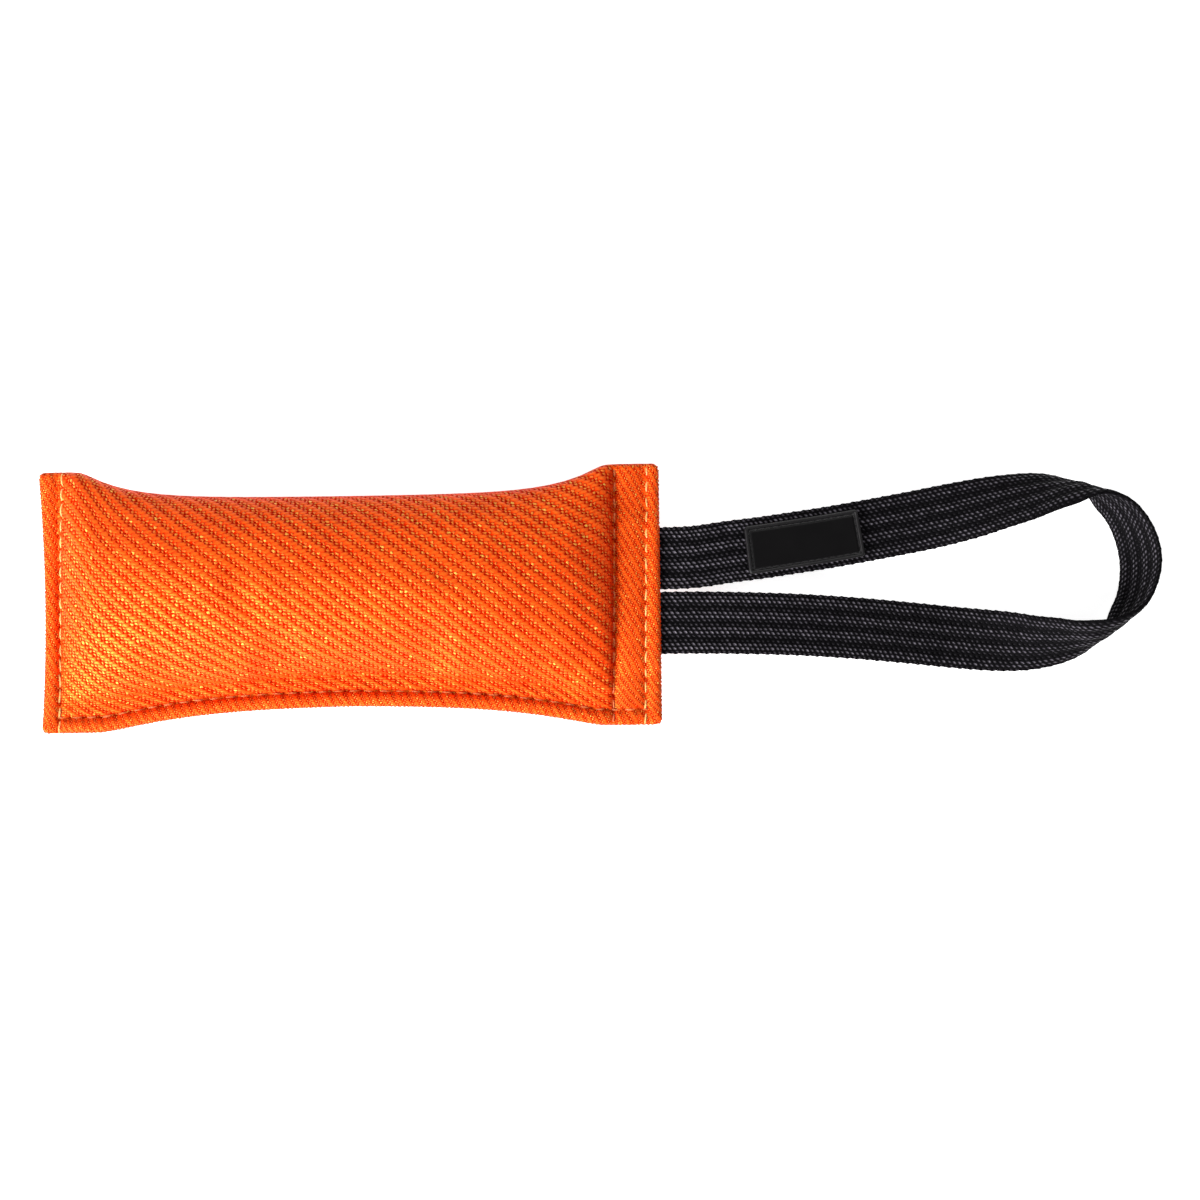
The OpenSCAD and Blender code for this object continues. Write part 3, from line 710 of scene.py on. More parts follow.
def cover_surface(cover, columns, rows, puff):
    """Places of the upper and the lower skin, as two arrays of columns by rows by three."""
    x = np.array([c[0] for c in columns])[:, None] + np.zeros((1, len(rows)))
    fold, hem = fold_line(x, cover), hem_line(x, cover)
    y = np.zeros_like(x)
    for j, (kind, value, _) in enumerate(rows):
        if kind == "hem":
            y[:, j] = hem[:, j] + value
        elif kind == "fold":
            y[:, j] = fold[:, j] - value
        else:
            low, high = hem[:, j] + MM, fold[:, j] - FOLD_ROWS[0] * MM
            y[:, j] = low + value * (high - low)
    share_y = np.array([r[2] for r in rows])[None, :] + np.zeros_like(x)
    round_fold = clamp(1 - (fold - y) / cover.hem_half)
    share_y = share_y * np.sqrt(1 - round_fold ** 2)
    # at the fold the ends have no groove between plies
    apart = ease((fold - y) / (3 * MM))
    share_x = np.ones_like(x)
    for i, (_, d, s, d_fold, s_fold) in enumerate(columns):
        if d is not None:
            sign = -1 if i < len(columns) / 2 else 1
            x[i] = sign * (HALF_L - (d * apart[i] + d_fold * (1 - apart[i])))
            share_x[i] = s * apart[i] + s_fold * (1 - apart[i])
    share = np.minimum(share_x, share_y)
    share[0], share[-1], share[:, 0], share[:, -1] = 0, 0, 0, 0
    # hem thickness, larger over the webbing's ends
    middle, reach = (TAIL_HI.y + HEM_TAIL_LO.y) / 2, (TAIL_HI.y - HEM_TAIL_LO.y) / 2
    over = ease(1 + (reach + MM - np.abs(y - middle)) / (6 * MM))
    over = over * ease((x - STUFFED_X1 + 10 * MM) / (10 * MM))
    half = cover.hem_half + (cover.hem_half_webbing - cover.hem_half) * over
    # the turned-in plies stand up in a roll between an edge and its seam
    roll = np.zeros_like(x)
    for inside, start, stop in ((x + HALF_L, 0, PLAIN_SEAM), (y - hem, 0, SEAM_IN),
                                (HALF_L - x, 0, SEAM_IN), (HALF_L - x, SEAM_IN, HANDLE_SEAM)):
        part = clamp((inside - start) / (stop - start))
        roll = np.maximum(roll, np.sin(math.pi * part) ** 0.7)
    half = half + cover.roll * roll
    # the stuffed part is highest a little on the fold's side of its middle
    inner = hem + cover.long_hem
    b = clamp((y - inner) / (fold - inner))
    full = (1 - np.abs(clamp((x - STUFFED_MID) / STUFFED_HALF, -1, 1)) ** 3) ** 0.6
    full = full * b ** 0.62 * np.sqrt(1 - b) / (0.554 ** 0.62 * 0.446 ** 0.5)
    top = (COVER_HI.z - HEM_Z - cover.hem_half) * full * puff
    # corners are rounded by drawing a square onto a quarter circle
    near_end = clamp(1 - (HALF_L - np.abs(x)) / cover.corner)
    near_side = clamp(1 - np.minimum(y - hem, fold - y) / cover.corner)
    px = x - np.sign(x) * cover.corner * near_end * (1 - np.sqrt(1 - near_side ** 2 / 2))
    # the plain end's edge draws in and its seam stays straight
    px += cover.end_draw * clamp((STUFFED_X0 - x) / PLAIN_SEAM) * (1 - (y / HALF_W) ** 2)
    py = y - np.sign(y) * cover.corner * near_side * (1 - np.sqrt(1 - near_end ** 2 / 2))
    return [np.stack([px, py, HEM_Z + way * half * share + way * top], 2) for way in (1, -1)]


def above_zero(v, soft):
    """v where it is well above 0 and 0 where it is well below, with a soft bend between them."""
    return (v + np.sqrt(v ** 2 + soft ** 2)) / 2


def on_table(upper, lower):
    """The table presses the underside flat, with a soft start. Both skins meet in their ring."""
    soft = 1.0 * MM
    raised = (math.sqrt(HEM_Z ** 2 + soft ** 2) - HEM_Z) / 2
    lower[..., 2] = above_zero(lower[..., 2], soft) - raised
    close_ring(upper, lower)


def within_seams(x, y, cover):
    """How far a place lies within the seams and the fold."""
    return np.minimum.reduce([x - STUFFED_X0, STUFFED_X1 - x, y - hem_line(x, cover) - SEAM_IN,
                              fold_line(x, cover) - y])


def knobbly_edges(skin):
    """Pushes the folded edges of the three hems in and out, yarn by yarn."""
    reach = np.array([1, 1, 0.9, 0.7, 0.45, 0.2])
    ends, hem = np.zeros(skin.shape[0]), np.zeros(skin.shape[1])
    ends[:len(reach)], ends[-len(reach):], hem[:len(reach)] = -reach, reach[::-1], -reach
    for axis, weight in ((0, ends[:, None]), (1, hem[None, :])):
        along = skin[..., 1 - axis] / MM
        knob = np.sin(2 * math.pi * along / 1.5) + 0.7 * np.sin(2 * math.pi * along / 1.13 + 1.3)
        skin[..., axis] += 0.17 * MM * knob * weight


def shared_ring(columns, rows):
    """Vertex numbers of the upper and lower grids, which share their outer ring."""
    upper = np.arange(columns * rows).reshape(columns, rows)
    lower = upper.copy()
    inner = np.arange((columns - 2) * (rows - 2)).reshape(columns - 2, rows - 2)
    lower[1:-1, 1:-1] = inner + columns * rows
    return upper, lower


def both_skins(upper, lower):
    """The places of both skins, in the order of their vertex numbers."""
    return np.concatenate([upper.reshape(-1, 3), lower[1:-1, 1:-1].reshape(-1, 3)])


def skin_faces(upper, lower):
    """Quads of both skins, facing out: first the upper skin's, then the lower's."""
    faces = []
    for grid, way in ((upper, 1), (lower, -1)):
        corners = (grid[:-1, :-1], grid[1:, :-1], grid[1:, 1:], grid[:-1, 1:])
        faces.append(np.stack([c.ravel() for c in corners[::way]], 1))
    return faces


def cloth_lengths(places):
    """How far each grid point lies along the cloth, in millimetres: from the middle of the length,
    drawn to the cut length in each row, and from the fold, drawn to the cut width."""
    along = lengths_along(places)
    across = lengths_along(places.swapaxes(0, 1)).T
    return ((along / along[-1:] - 0.5) * 2 * HALF_L / MM,
            (1 - across / across[:, -1:]) * 2 * HALF_W / MM)


def seam_places(tree, stage):
    """The two places that each row of stitches runs through, from its image points."""
    return {seam: [place_point(name, tree, stage) for name in names]
            for seam, names in SEAM_POINTS.items()}


def seam_line(rows, seam, cover):
    """Points (x, y) along a row of stitches."""
    a, b = rows[seam]
    count = 240
    if seam == "long":
        inset = [p.y - float(hem_line(np.array(p.x), cover)) for p in (a, b)]
        x = np.linspace(rows["plain"][1].x, rows["outer"][1].x, count)
        part = clamp((x - a.x) / (b.x - a.x))
        return np.stack([x, hem_line(x, cover) + inset[0] + (inset[1] - inset[0]) * part], 1)
    middle = np.array((a.x + b.x) / 2)
    low = float(hem_line(middle, cover)) + ROW_INSET[0]
    high = float(fold_line(middle, cover)) - ROW_INSET[1]
    y = low + (high - low) * (np.linspace(-1, 1, count) + 1) / 2
    return np.stack([a.x + (b.x - a.x) * (y - a.y) / (b.y - a.y), y], 1)


def stitch_count(line, pitch):
    """How many whole steps of about one pitch fit along a line."""
    return max(1, round(float(lengths_along(line)[-1]) / pitch))


def seam_pull(places, lines, width, pitch):
    """How much the stitches pull the cloth in at each place, from 0 to 1: in a furrow along each
    row, at its needle holes, and in the slanting folds that gather towards them."""
    fields = [np.zeros(places.shape[:-1]) for _ in range(3)]
    flat = places[..., :2].reshape(-1, 2)
    stride = 4
    for line, hold in lines:
        best, at, before = np.full(len(flat), 1.0), np.zeros(len(flat)), 0.0
        side = np.zeros(len(flat))
        for k in range(0, len(line) - 1, stride):
            a, b = line[k], line[min(k + stride, len(line) - 1)]
            long = math.sqrt((b - a) @ (b - a))
            t = clamp(((flat - a) @ (b - a)) / max(1e-12, long * long))
            gap = np.linalg.norm(flat - (a + t[:, None] * (b - a)), axis=1)
            turn = np.sign((b - a)[0] * (flat - a)[:, 1] - (b - a)[1] * (flat - a)[:, 0])
            at = np.where(gap < best, before + t * long, at)
            side = np.where(gap < best, gap * turn, side)
            best = np.minimum(best, gap)
            before += long
        # stitches lie at whole steps along the row, with a needle hole halfway between each two
        step = before / stitch_count(line, pitch)
        off = ((at / step) % 1 - 0.5) * step
        furrow = hold * np.exp(-(best / width) ** 2)
        hole = np.exp(-((best / width) ** 2 + (off / width) ** 2) / 0.3)
        slant = np.cos(2 * math.pi * (off + 0.8 * side) / step)
        fold = hold * np.exp(-(best / (3.2 * width)) ** 2) * (1 + slant) / 2
        for field, part in zip(fields, (furrow, hole, fold)):
            np.maximum(field, part.reshape(field.shape), out=field)
    return fields


def pressed_blank(cover):
    """A cloth simulation with pressure on a coarse copy of the slack cover, whose hems are held:
    its places at the start, their movement, and the corners of its triangles."""
    columns, rows = cover_grid(COARSE_GRID)
    top, under = cover_surface(cover, columns, rows, SLACK)
    on_table(top, under)
    mesh = bpy.data.meshes.new("blank")
    mesh.from_pydata([tuple(v) for v in both_skins(top, under)], [],
                     np.concatenate(skin_faces(*shared_ring(len(columns), len(rows)))).tolist())
    blank = new_object("blank", mesh)
    voxels = blank.modifiers.new("voxels", "REMESH")
    voxels.mode = "VOXEL"
    voxels.voxel_size = VOXEL
    bpy.context.view_layer.update()
    coarse = bpy.data.meshes.new_from_object(evaluated(blank))
    blank.modifiers.remove(voxels)
    blank.data = coarse
    start = positions(coarse)
    held = np.flatnonzero(within_seams(start[:, 0], start[:, 1], cover) < HELD)
    blank.vertex_groups.new(name="held").add(held.tolist(), 1.0, "REPLACE")
    cloth = blank.modifiers.new("cloth", "CLOTH")
    cloth.settings.use_pressure = True
    cloth.settings.uniform_pressure_force = 20
    cloth.settings.bending_stiffness = 2
    cloth.settings.shrink_min = -0.012
    cloth.settings.effector_weights.gravity = 0
    cloth.settings.vertex_group_mass = "held"
    cloth.point_cache.frame_start = 1
    cloth.point_cache.frame_end = PRESS_FRAMES
    for step in range(1, PRESS_FRAMES + 1):
        bpy.context.scene.frame_set(step)
    move = positions(evaluated(blank).data) - start
    move *= np.minimum(1, CAP / np.maximum(1e-9, np.linalg.norm(move, axis=1)))[:, None]
    corners = [tuple(p.vertices) for p in coarse.polygons]
    corners = [(f[0], f[k], f[k + 1]) for f in corners for k in range(1, len(f) - 1)]
    bpy.context.scene.frame_set(1)
    bpy.data.objects.remove(blank)
    for spare in (mesh, coarse):
        bpy.data.meshes.remove(spare)
    return start, move, corners


def press_out(cover, upper, lower):
    """Presses the slack cover out with its filling: each fine place moves as the nearest place of
    the simulated coarse copy does."""
    start, move, corners = pressed_blank(cover)
    tree = BVHTree.FromPolygons([Vector(v) for v in start], corners)
    corners = np.array(corners)
    for skin in (upper, lower):
        near = [tree.find_nearest(Vector(p)) for p in skin.reshape(-1, 3)]
        i, j, k = corners[[n[2] for n in near]].T
        place = np.array([tuple(n[0]) for n in near])
        a, b, c = start[i], start[j], start[k]
        whole = np.cross(b - a, c - a)
        size = np.sum(whole * whole, 1)
        part_b = np.sum(np.cross(place - a, c - a) * whole, 1) / size
        part_c = np.sum(np.cross(b - a, place - a) * whole, 1) / size
        shift = (move[i] * (1 - part_b - part_c)[:, None] + move[j] * part_b[:, None]
                 + move[k] * part_c[:, None]).reshape(skin.shape)
        # the coarse copy's facets are smoothed out, over about 2.5 mm
        for _ in range(32):
            smooth(shift)
            smooth(shift.swapaxes(0, 1))
        inside = within_seams(skin[..., 0], skin[..., 1], cover)
        skin += shift * ease(inside / (4 * MM))[..., None]
    # and the filling holds it up, to within half a millimetre of the full shape
    full = cover_surface(cover, *cover_grid(cover.grid), 1)
    for skin, held, way in zip((upper, lower), full, (1, -1)):
        spare = way * (skin[..., 2] - held[..., 2]) + 0.5 * MM
        skin[..., 2] += way * (above_zero(spare, 0.3 * MM) - spare)


def build_cover():
    """The stuffed cover: its shape, the pull of its seams, its creases and its twill ribs."""
    cover = bumper().cover
    columns, rows = cover_grid(cover.grid)
    upper, lower = cover_surface(cover, columns, rows, SLACK)
    press_out(cover, upper, lower)
    on_table(upper, lower)
    ids_up, ids_low = shared_ring(len(columns), len(rows))
    quads = skin_faces(ids_up, ids_low)
    faces = np.concatenate(quads).tolist()
    tree = BVHTree.FromPolygons([Vector(v) for v in both_skins(upper, lower)], faces)
    seams = seam_places(tree, bumper().stage)
    # cloth coordinates, through the fold from the upper side to the lower. The cloth is drawn
    # together towards the long hem and the plain end, where its ribs turn
    uv = []
    for skin, way in ((upper, -1), (lower, 1)):
        x, y = skin[..., 0], skin[..., 1]
        along, across = cloth_lengths(skin)
        amount, reach = DRAWN_ALONG
        along -= amount * np.exp(-np.maximum(x - STUFFED_X0, 0) / reach)
        amount, reach = DRAWN_ACROSS
        across += amount * np.exp(-np.maximum(y - hem_line(x, cover) - SEAM_IN, 0) / reach)
        uv.append(np.stack([along, way * across], 2).reshape(-1, 2))
    lines = [(seam_line(seams, s, cover), hold) for s, hold in SEAM_HOLD.items()]
    furrow, holes, folds = seam_pull(upper, lines, 0.9 * MM, bumper().thread.stitch)
    shares = zip(PULL_SHARES, (furrow, holes, folds))
    pull = cover.crease * sum(share * field for share, field in shares)
    for skin in (upper, lower):
        knobbly_edges(skin)
    upper[..., 2] -= pull
    lower[..., 2] += pull * np.where(lower[..., 2] > 3 * MM, 1, 0)
    close_ring(upper, lower)
    uvs = np.stack([uv[0][quads[0]], uv[1][quads[0][:, ::-1]]])
    middle = upper.reshape(-1, 3)[quads[0]].mean(1)
    in_hem = ((middle[:, 0] < STUFFED_X0) | (middle[:, 0] > STUFFED_X1)
              | (middle[:, 1] < hem_line(middle[:, 0], cover) + SEAM_IN))
    uvs[:, in_hem] = uvs[:, in_hem] @ PLY_WEAVE
    verts = both_skins(upper, lower)
    made = show("cover_cloth", verts, faces, uvs.reshape(-1, 2))
    # twill ribs stand out along the surface's own direction. A rib's crest lies 3/8 of the way
    # from one line of column and row starts to the next
    both = both_numbers(uv, ids_up, ids_low)
    phase = (both[:, 0] / (TWILL_REPEAT * cover.column / MM)
             + both[:, 1] / (TWILL_REPEAT * cover.row / MM))
    rib = cover.rib * (1 - np.abs(2 * ((phase + 1 / 8) % 1) - 1) ** 2.4)
    inside = within_seams(verts[:, 0], verts[:, 1], cover)
    rib *= 0.15 + 0.85 * ease(inside / (2 * MM))
    out = vectors(made.data.vertex_normals, "vector")
    places = positions(made.data) + out * (rib - 0.6 * cover.rib)[:, None]
    places[:, 2] = np.maximum(places[:, 2], 0)
    made.data.vertices.foreach_set("co", places.astype(np.float32).ravel())
    made.data.update()
    # how shut in each place is, as painted shade for the material: in the seams' furrows and needle
    # holes, and beside the inner row, where the cloth turns down steeply into its own shade
    beside = clamp(1 - (STUFFED_X1 - upper[..., 0]) / (6 * MM)) * (upper[..., 0] < STUFFED_X1)
    dark = clamp(0.65 * furrow ** 2 + 0.5 * holes + 0.4 * beside ** 2).reshape(-1, 1)
    mark(made, "crease", both_numbers((dark, dark), ids_up, ids_low))
    made.data.materials.append(twill_material(cover))
    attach(made, "pillow")
    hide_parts("cover")
    made["seams"] = json.dumps({k: [tuple(p) for p in v] for k, v in seams.items()})


def both_numbers(values, ids_up, ids_low):
    """Numbers of the upper and the lower grid, in the order of the skins' vertex numbers. In the
    shared ring the upper grid's count."""
    out = np.zeros((ids_low.max() + 1, values[0].shape[1]))
    out[ids_low.ravel()] = values[1]
    out[ids_up.ravel()] = values[0]
    return out


# ---- The webbing ----

# Half the length of the webbing, from one sewn end to the loop's far end
WEBBING_MIDDLE = 195 * MM
# Rounding of the webbing's edges, depth of the grooves between its bands, width of its selvedges
# and how far they are drawn thin
EDGE_ROUND, GROOVE, SELVEDGE, SELVEDGE_THIN = 0.7 * MM, 0.4 * MM, 1.3 * MM, 0.12 * MM


def loop_middle(webbing):
    """The middle line of the loop: x, y, z, roll in radians and bow for each route point."""
    out = []
    legs, leg = (FOLD_LEG_Y + HEM_LEG_Y) / 2, (FOLD_LEG_Y - HEM_LEG_Y) / 2
    thick = webbing.thickness / 2
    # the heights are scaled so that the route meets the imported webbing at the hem
    at_hem = LOOP_ROUTE[0][2]
    for i, (ahead, spread, lift, roll, bow) in enumerate(LOOP_ROUTE):
        turn = math.cos(math.pi * min(1, max(0, (i - TURN_START) / (TURN_END - TURN_START))))
        low = lift * MM * (HEM_Z - thick) / (at_hem * MM)
        roll = math.radians(roll)
        z = low + webbing.width / 2 * abs(math.sin(roll)) + thick * abs(math.cos(roll))
        out.append((BEND_X + ahead * MM, legs + turn * leg + spread * MM, z, roll, bow * MM))
    return np.array(out)


def on_route(route, s):
    """Points of the smooth line through the route, at places s counted in route points."""
    last = len(route) - 1
    ends = np.concatenate([[2 * route[0] - route[1]], route, [2 * route[-1] - route[-2]]])
    s = np.asarray(s, float)
    i = np.minimum(last - 1, np.floor(s)).astype(int)
    t = (s - i)[..., None]
    a, b, c, d = ends[i], ends[i + 1], ends[i + 2], ends[i + 3]
    return (2 * b + (c - a) * t + (2 * a - 5 * b + 4 * c - d) * t * t
            + (3 * b - a - 3 * c + d) * t * t * t) / 2


def route_frames(route, s):
    """Middle, across (to the inner edge) and outward directions, and bow, at places s."""
    at = on_route(route, s)
    ahead = unit(on_route(route, np.minimum(len(route) - 1, s + 0.02))[..., :3]
                 - on_route(route, np.maximum(0, s - 0.02))[..., :3])
    level = unit(np.cross(ahead, [0, 0, 1.0]))
    roll = at[..., 3:4]
    across = np.cos(roll) * level + np.sin(roll) * np.cross(level, ahead)
    return at[..., :3], across, np.cross(across, ahead), at[..., 4:5]


def strap_frames(webbing, step):
    """Frames along the whole webbing, from one sewn end through the loop to the other: middle,
    across and outward directions, bow and length."""
    route = loop_middle(webbing)
    middle, across, _, bow = route_frames(route, np.linspace(0, len(route) - 1, 3000))
    # the sewn ends run straight back into the hem
    straight = np.linspace(TAIL_LO.x, BEND_X, 200)[:-1]
    ends = []
    for y, way in ((FOLD_LEG_Y, 1), (HEM_LEG_Y, -1)):
        at = np.stack([straight, np.full_like(straight, y), np.full_like(straight, HEM_Z)], 1)
        side = np.tile([0, -float(way), 0], (len(at), 1))
        ends.append((at[::way], side, np.zeros((len(at), 1))))
    parts = [np.concatenate([ends[0][k], part, ends[1][k]])
             for k, part in enumerate((middle, across, bow))]
    length = lengths_along(parts[0])
    even = np.linspace(0, length[-1], int(length[-1] / step) + 1)
    middle, across, bow = [np.stack([np.interp(even, length, c) for c in p.T], 1) for p in parts]
    # the bend at the hem is eased
    for _ in range(6):
        smooth(middle)
    forward = unit(np.gradient(middle, axis=0))
    across = unit(across - forward * np.sum(forward * across, 1)[:, None])
    return middle, across, np.cross(across, forward), bow, even


def build_webbing():
    """The webbing, one strip from end to end: raised bands, knobbly selvedges and a soft bend at
    the hem."""
    webbing = bumper().webbing
    middle, across, out, bow, length = strap_frames(webbing, 0.58 * MM)
    half, thick = webbing.width / 2, webbing.thickness / 2
    flat = np.linspace(-half + EDGE_ROUND, half - EDGE_ROUND, 35)
    turn = np.radians([55, 20, -20, -55])
    # outline: over the upper face from the outer to the inner edge, and back underneath
    edge_in = np.stack([half - EDGE_ROUND + EDGE_ROUND * np.cos(turn), thick * np.sin(turn)], 1)
    line = np.concatenate([np.stack([flat, np.full_like(flat, thick)], 1), edge_in,
                           np.stack([flat[::-1], np.full_like(flat, -thick)], 1), -edge_in])
    # cloth coordinates round the strip: 0 in the middle of the upper face and four bands further on
    # in the middle of the lower one
    turned = np.linspace(0, 1, 6)[1:-1] * (4 * webbing.band - 2 * flat[-1])
    around = np.concatenate([flat, flat[-1] + turned, 4 * webbing.band + flat,
                             4 * webbing.band + flat[-1] + turned, [8 * webbing.band + flat[0]]])
    c, h = line[:, 0][None, :], line[:, 1][None, :]
    s = length[:, None]
    # three grooves between four bands, on both faces
    band = np.cos(2 * math.pi * (np.abs(c) - webbing.band / 2) / webbing.band)
    face = (np.abs(h) > 0.95 * thick).astype(float)
    relief = face * GROOVE * (band - 1) / 2
    # yarns turn back round the selvedge every pick, and every second one stands out further
    edge = clamp((np.abs(c) - (half - SELVEDGE)) / SELVEDGE)
    knob = edge * (0.10 * MM * np.cos(2 * math.pi * s / webbing.pick)
                   + 0.11 * MM * np.cos(math.pi * s / webbing.pick + 0.6 * np.sign(c)))
    wide = c + np.sign(c) * knob
    high = h + np.sign(h) * (relief - edge * SELVEDGE_THIN) + bow * (1 - (c / half) ** 2)
    # a bowed strip is narrower by its bow
    wide = wide * (1 - 8 / 3 * (bow / webbing.width) ** 2)
    verts = middle[:, None] + across[:, None] * wide[..., None] + out[:, None] * high[..., None]
    rings, sides = len(middle), len(line)
    number = np.arange(rings * sides).reshape(rings, sides)
    a, b = number[:-1], np.roll(number[:-1], -1, 1)
    d, e = number[1:], np.roll(number[1:], -1, 1)
    quads = np.stack([a, d, e, b], 2).reshape(-1, 4)
    u0, u1 = (np.repeat(u[:, None], sides, 1) / MM for u in (length[:-1], length[1:]))
    v0, v1 = (np.tile(v, (rings - 1, 1)) / MM for v in (around[:-1], around[1:]))
    uvs = np.stack([np.stack(p, 2) for p in ((u0, v0), (u1, v0), (u1, v1), (u0, v1))], 2)
    uvs = np.concatenate([uvs.reshape(-1, 2), np.zeros((2 * sides, 2))])
    ends = [list(number[0]), list(number[-1][::-1])]
    made = show("webbing_strip", verts.reshape(-1, 3), quads.tolist() + ends, uvs)
    made.data.materials.append(webbing_material(webbing))
    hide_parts("fold_side_tail", "hem_side_tail", "handle_loop")
    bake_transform(made)


# ---- The label ----

# The label's profile from its underside over the rim, into the sewing groove and onto the face:
# distance in from the edge and height over the webbing, in millimetres
LABEL_PROFILE = ((0.5, -0.1), (0.1, -0.1), (0.0, 0.1), (0.0, 1.0), (0.1, 1.28), (0.32, 1.4),
                 (0.75, 1.4), (0.95, 1.32), (1.05, 1.1), (1.12, 0.85), (1.45, 0.82), (1.75, 0.85),
                 (1.84, 1.05), (1.98, 1.16), (2.3, 1.18), (3.4, 1.18), (4.8, 1.18), (6.2, 1.18),
                 (7.3, 1.18))
# The profile's first place on top of the rim, and the rim's and groove's width in millimetres
RIM_TOP, RIM_WIDTH = 5, 1.9
# The stitches in the groove: distance in from the edge, height, spacing, length, thickness, dip
GROOVE_IN, GROOVE_LIFT = 1.45 * MM, 0.86 * MM
LABEL_PITCH, LABEL_STITCH, LABEL_THREAD, LABEL_DIP = 2.4 * MM, 2.0 * MM, 0.4 * MM, 0.12 * MM


def label_outline(label, inset):
    """Points of a rectangle with round corners, drawn in by inset. Seen from above, the inner edge
    is at negative y on this leg."""
    r = max(0.15 * MM, label.corner - inset)
    x, y = label.length / 2 - inset - r, label.width / 2 - inset - r
    out = []
    for k, (sx, sy) in enumerate(((1, 1), (-1, 1), (-1, -1), (1, -1))):
        for t in range(5):
            angle = math.radians(90 * k + 22.5 * t)
            out.append((sx * x + r * math.cos(angle), sy * y + r * math.sin(angle)))
    dense = []
    for k, (p, q) in enumerate(zip(out, out[1:] + out[:1])):
        # the straight sides are divided
        steps = 14 if k % 5 == 4 else 1
        dense += [(p[0] + (q[0] - p[0]) * t / steps, -(p[1] + (q[1] - p[1]) * t / steps))
                  for t in range(steps)]
    return dense


def label_place(webbing):
    """Where the label sits: its place on the route and how far across the webbing its middle is,
    from its image point."""
    place = place_point("label_middle", surface_tree("webbing_strip"), bumper().stage)
    route = loop_middle(webbing)
    fine = np.linspace(1, 8, 1401)
    middle, across, _, _ = route_frames(route, fine)
    gap = np.array(place) - middle
    aside = np.sum(gap * across, 1)
    best = int(np.argmin(np.linalg.norm(gap - across * aside[:, None], axis=1)))
    return route, fine[best], float(gap[best] @ across[best])


def label_points(webbing, flat, height):
    """Bends flat label points (x along, y across towards the inner edge) onto the webbing. Gives
    their places and the outward directions there."""
    route, s0, side = label_place(webbing)
    fine = np.linspace(max(0, s0 - 3.5), s0 + 3.5, 701)
    length = lengths_along(on_route(route, fine)[:, :3])
    zero = np.interp(s0, fine, length)
    s = np.interp(zero + flat[:, 0], length, fine)
    middle, across, out, _ = route_frames(route, s)
    places = middle + across * (side + flat[:, 1])[:, None]
    return places + out * (webbing.thickness / 2 + height)[:, None], out


def build_label():
    """The moulded rubber label: raised rim, sewing groove and a bare face."""
    label = bumper().label
    flat = np.array([p for d, _ in LABEL_PROFILE for p in label_outline(label, d * MM)])
    rings = len(LABEL_PROFILE)
    count = len(flat) // rings
    scale = label.thickness / (LABEL_PROFILE[RIM_TOP][1] * MM)
    height = np.repeat([h * MM * scale for _, h in LABEL_PROFILE], count)
    places, _ = label_points(bumper().webbing, flat, height)
    faces = []
    for k in range(rings - 1):
        for i in range(count):
            j = (i + 1) % count
            faces.append((k * count + i, k * count + j, (k + 1) * count + j, (k + 1) * count + i))
    faces.append(tuple((rings - 1) * count + i for i in range(count)))
    faces.append(tuple(count - 1 - i for i in range(count)))
    made = show("rubber_label", places, faces)
    rim = np.repeat([1.0 if d < RIM_WIDTH else 0.0 for d, _ in LABEL_PROFILE], count)
    mark(made, "rim", rim)
    made.data.materials.append(rubber_material(label))
    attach(made, "handle")
    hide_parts("label_patch")


# ---- Stitches ----

# How many steps the stitches' line is cut into, and of how many sides their thread is
BEAD_STEPS, BEAD_SIDES = 6, 6


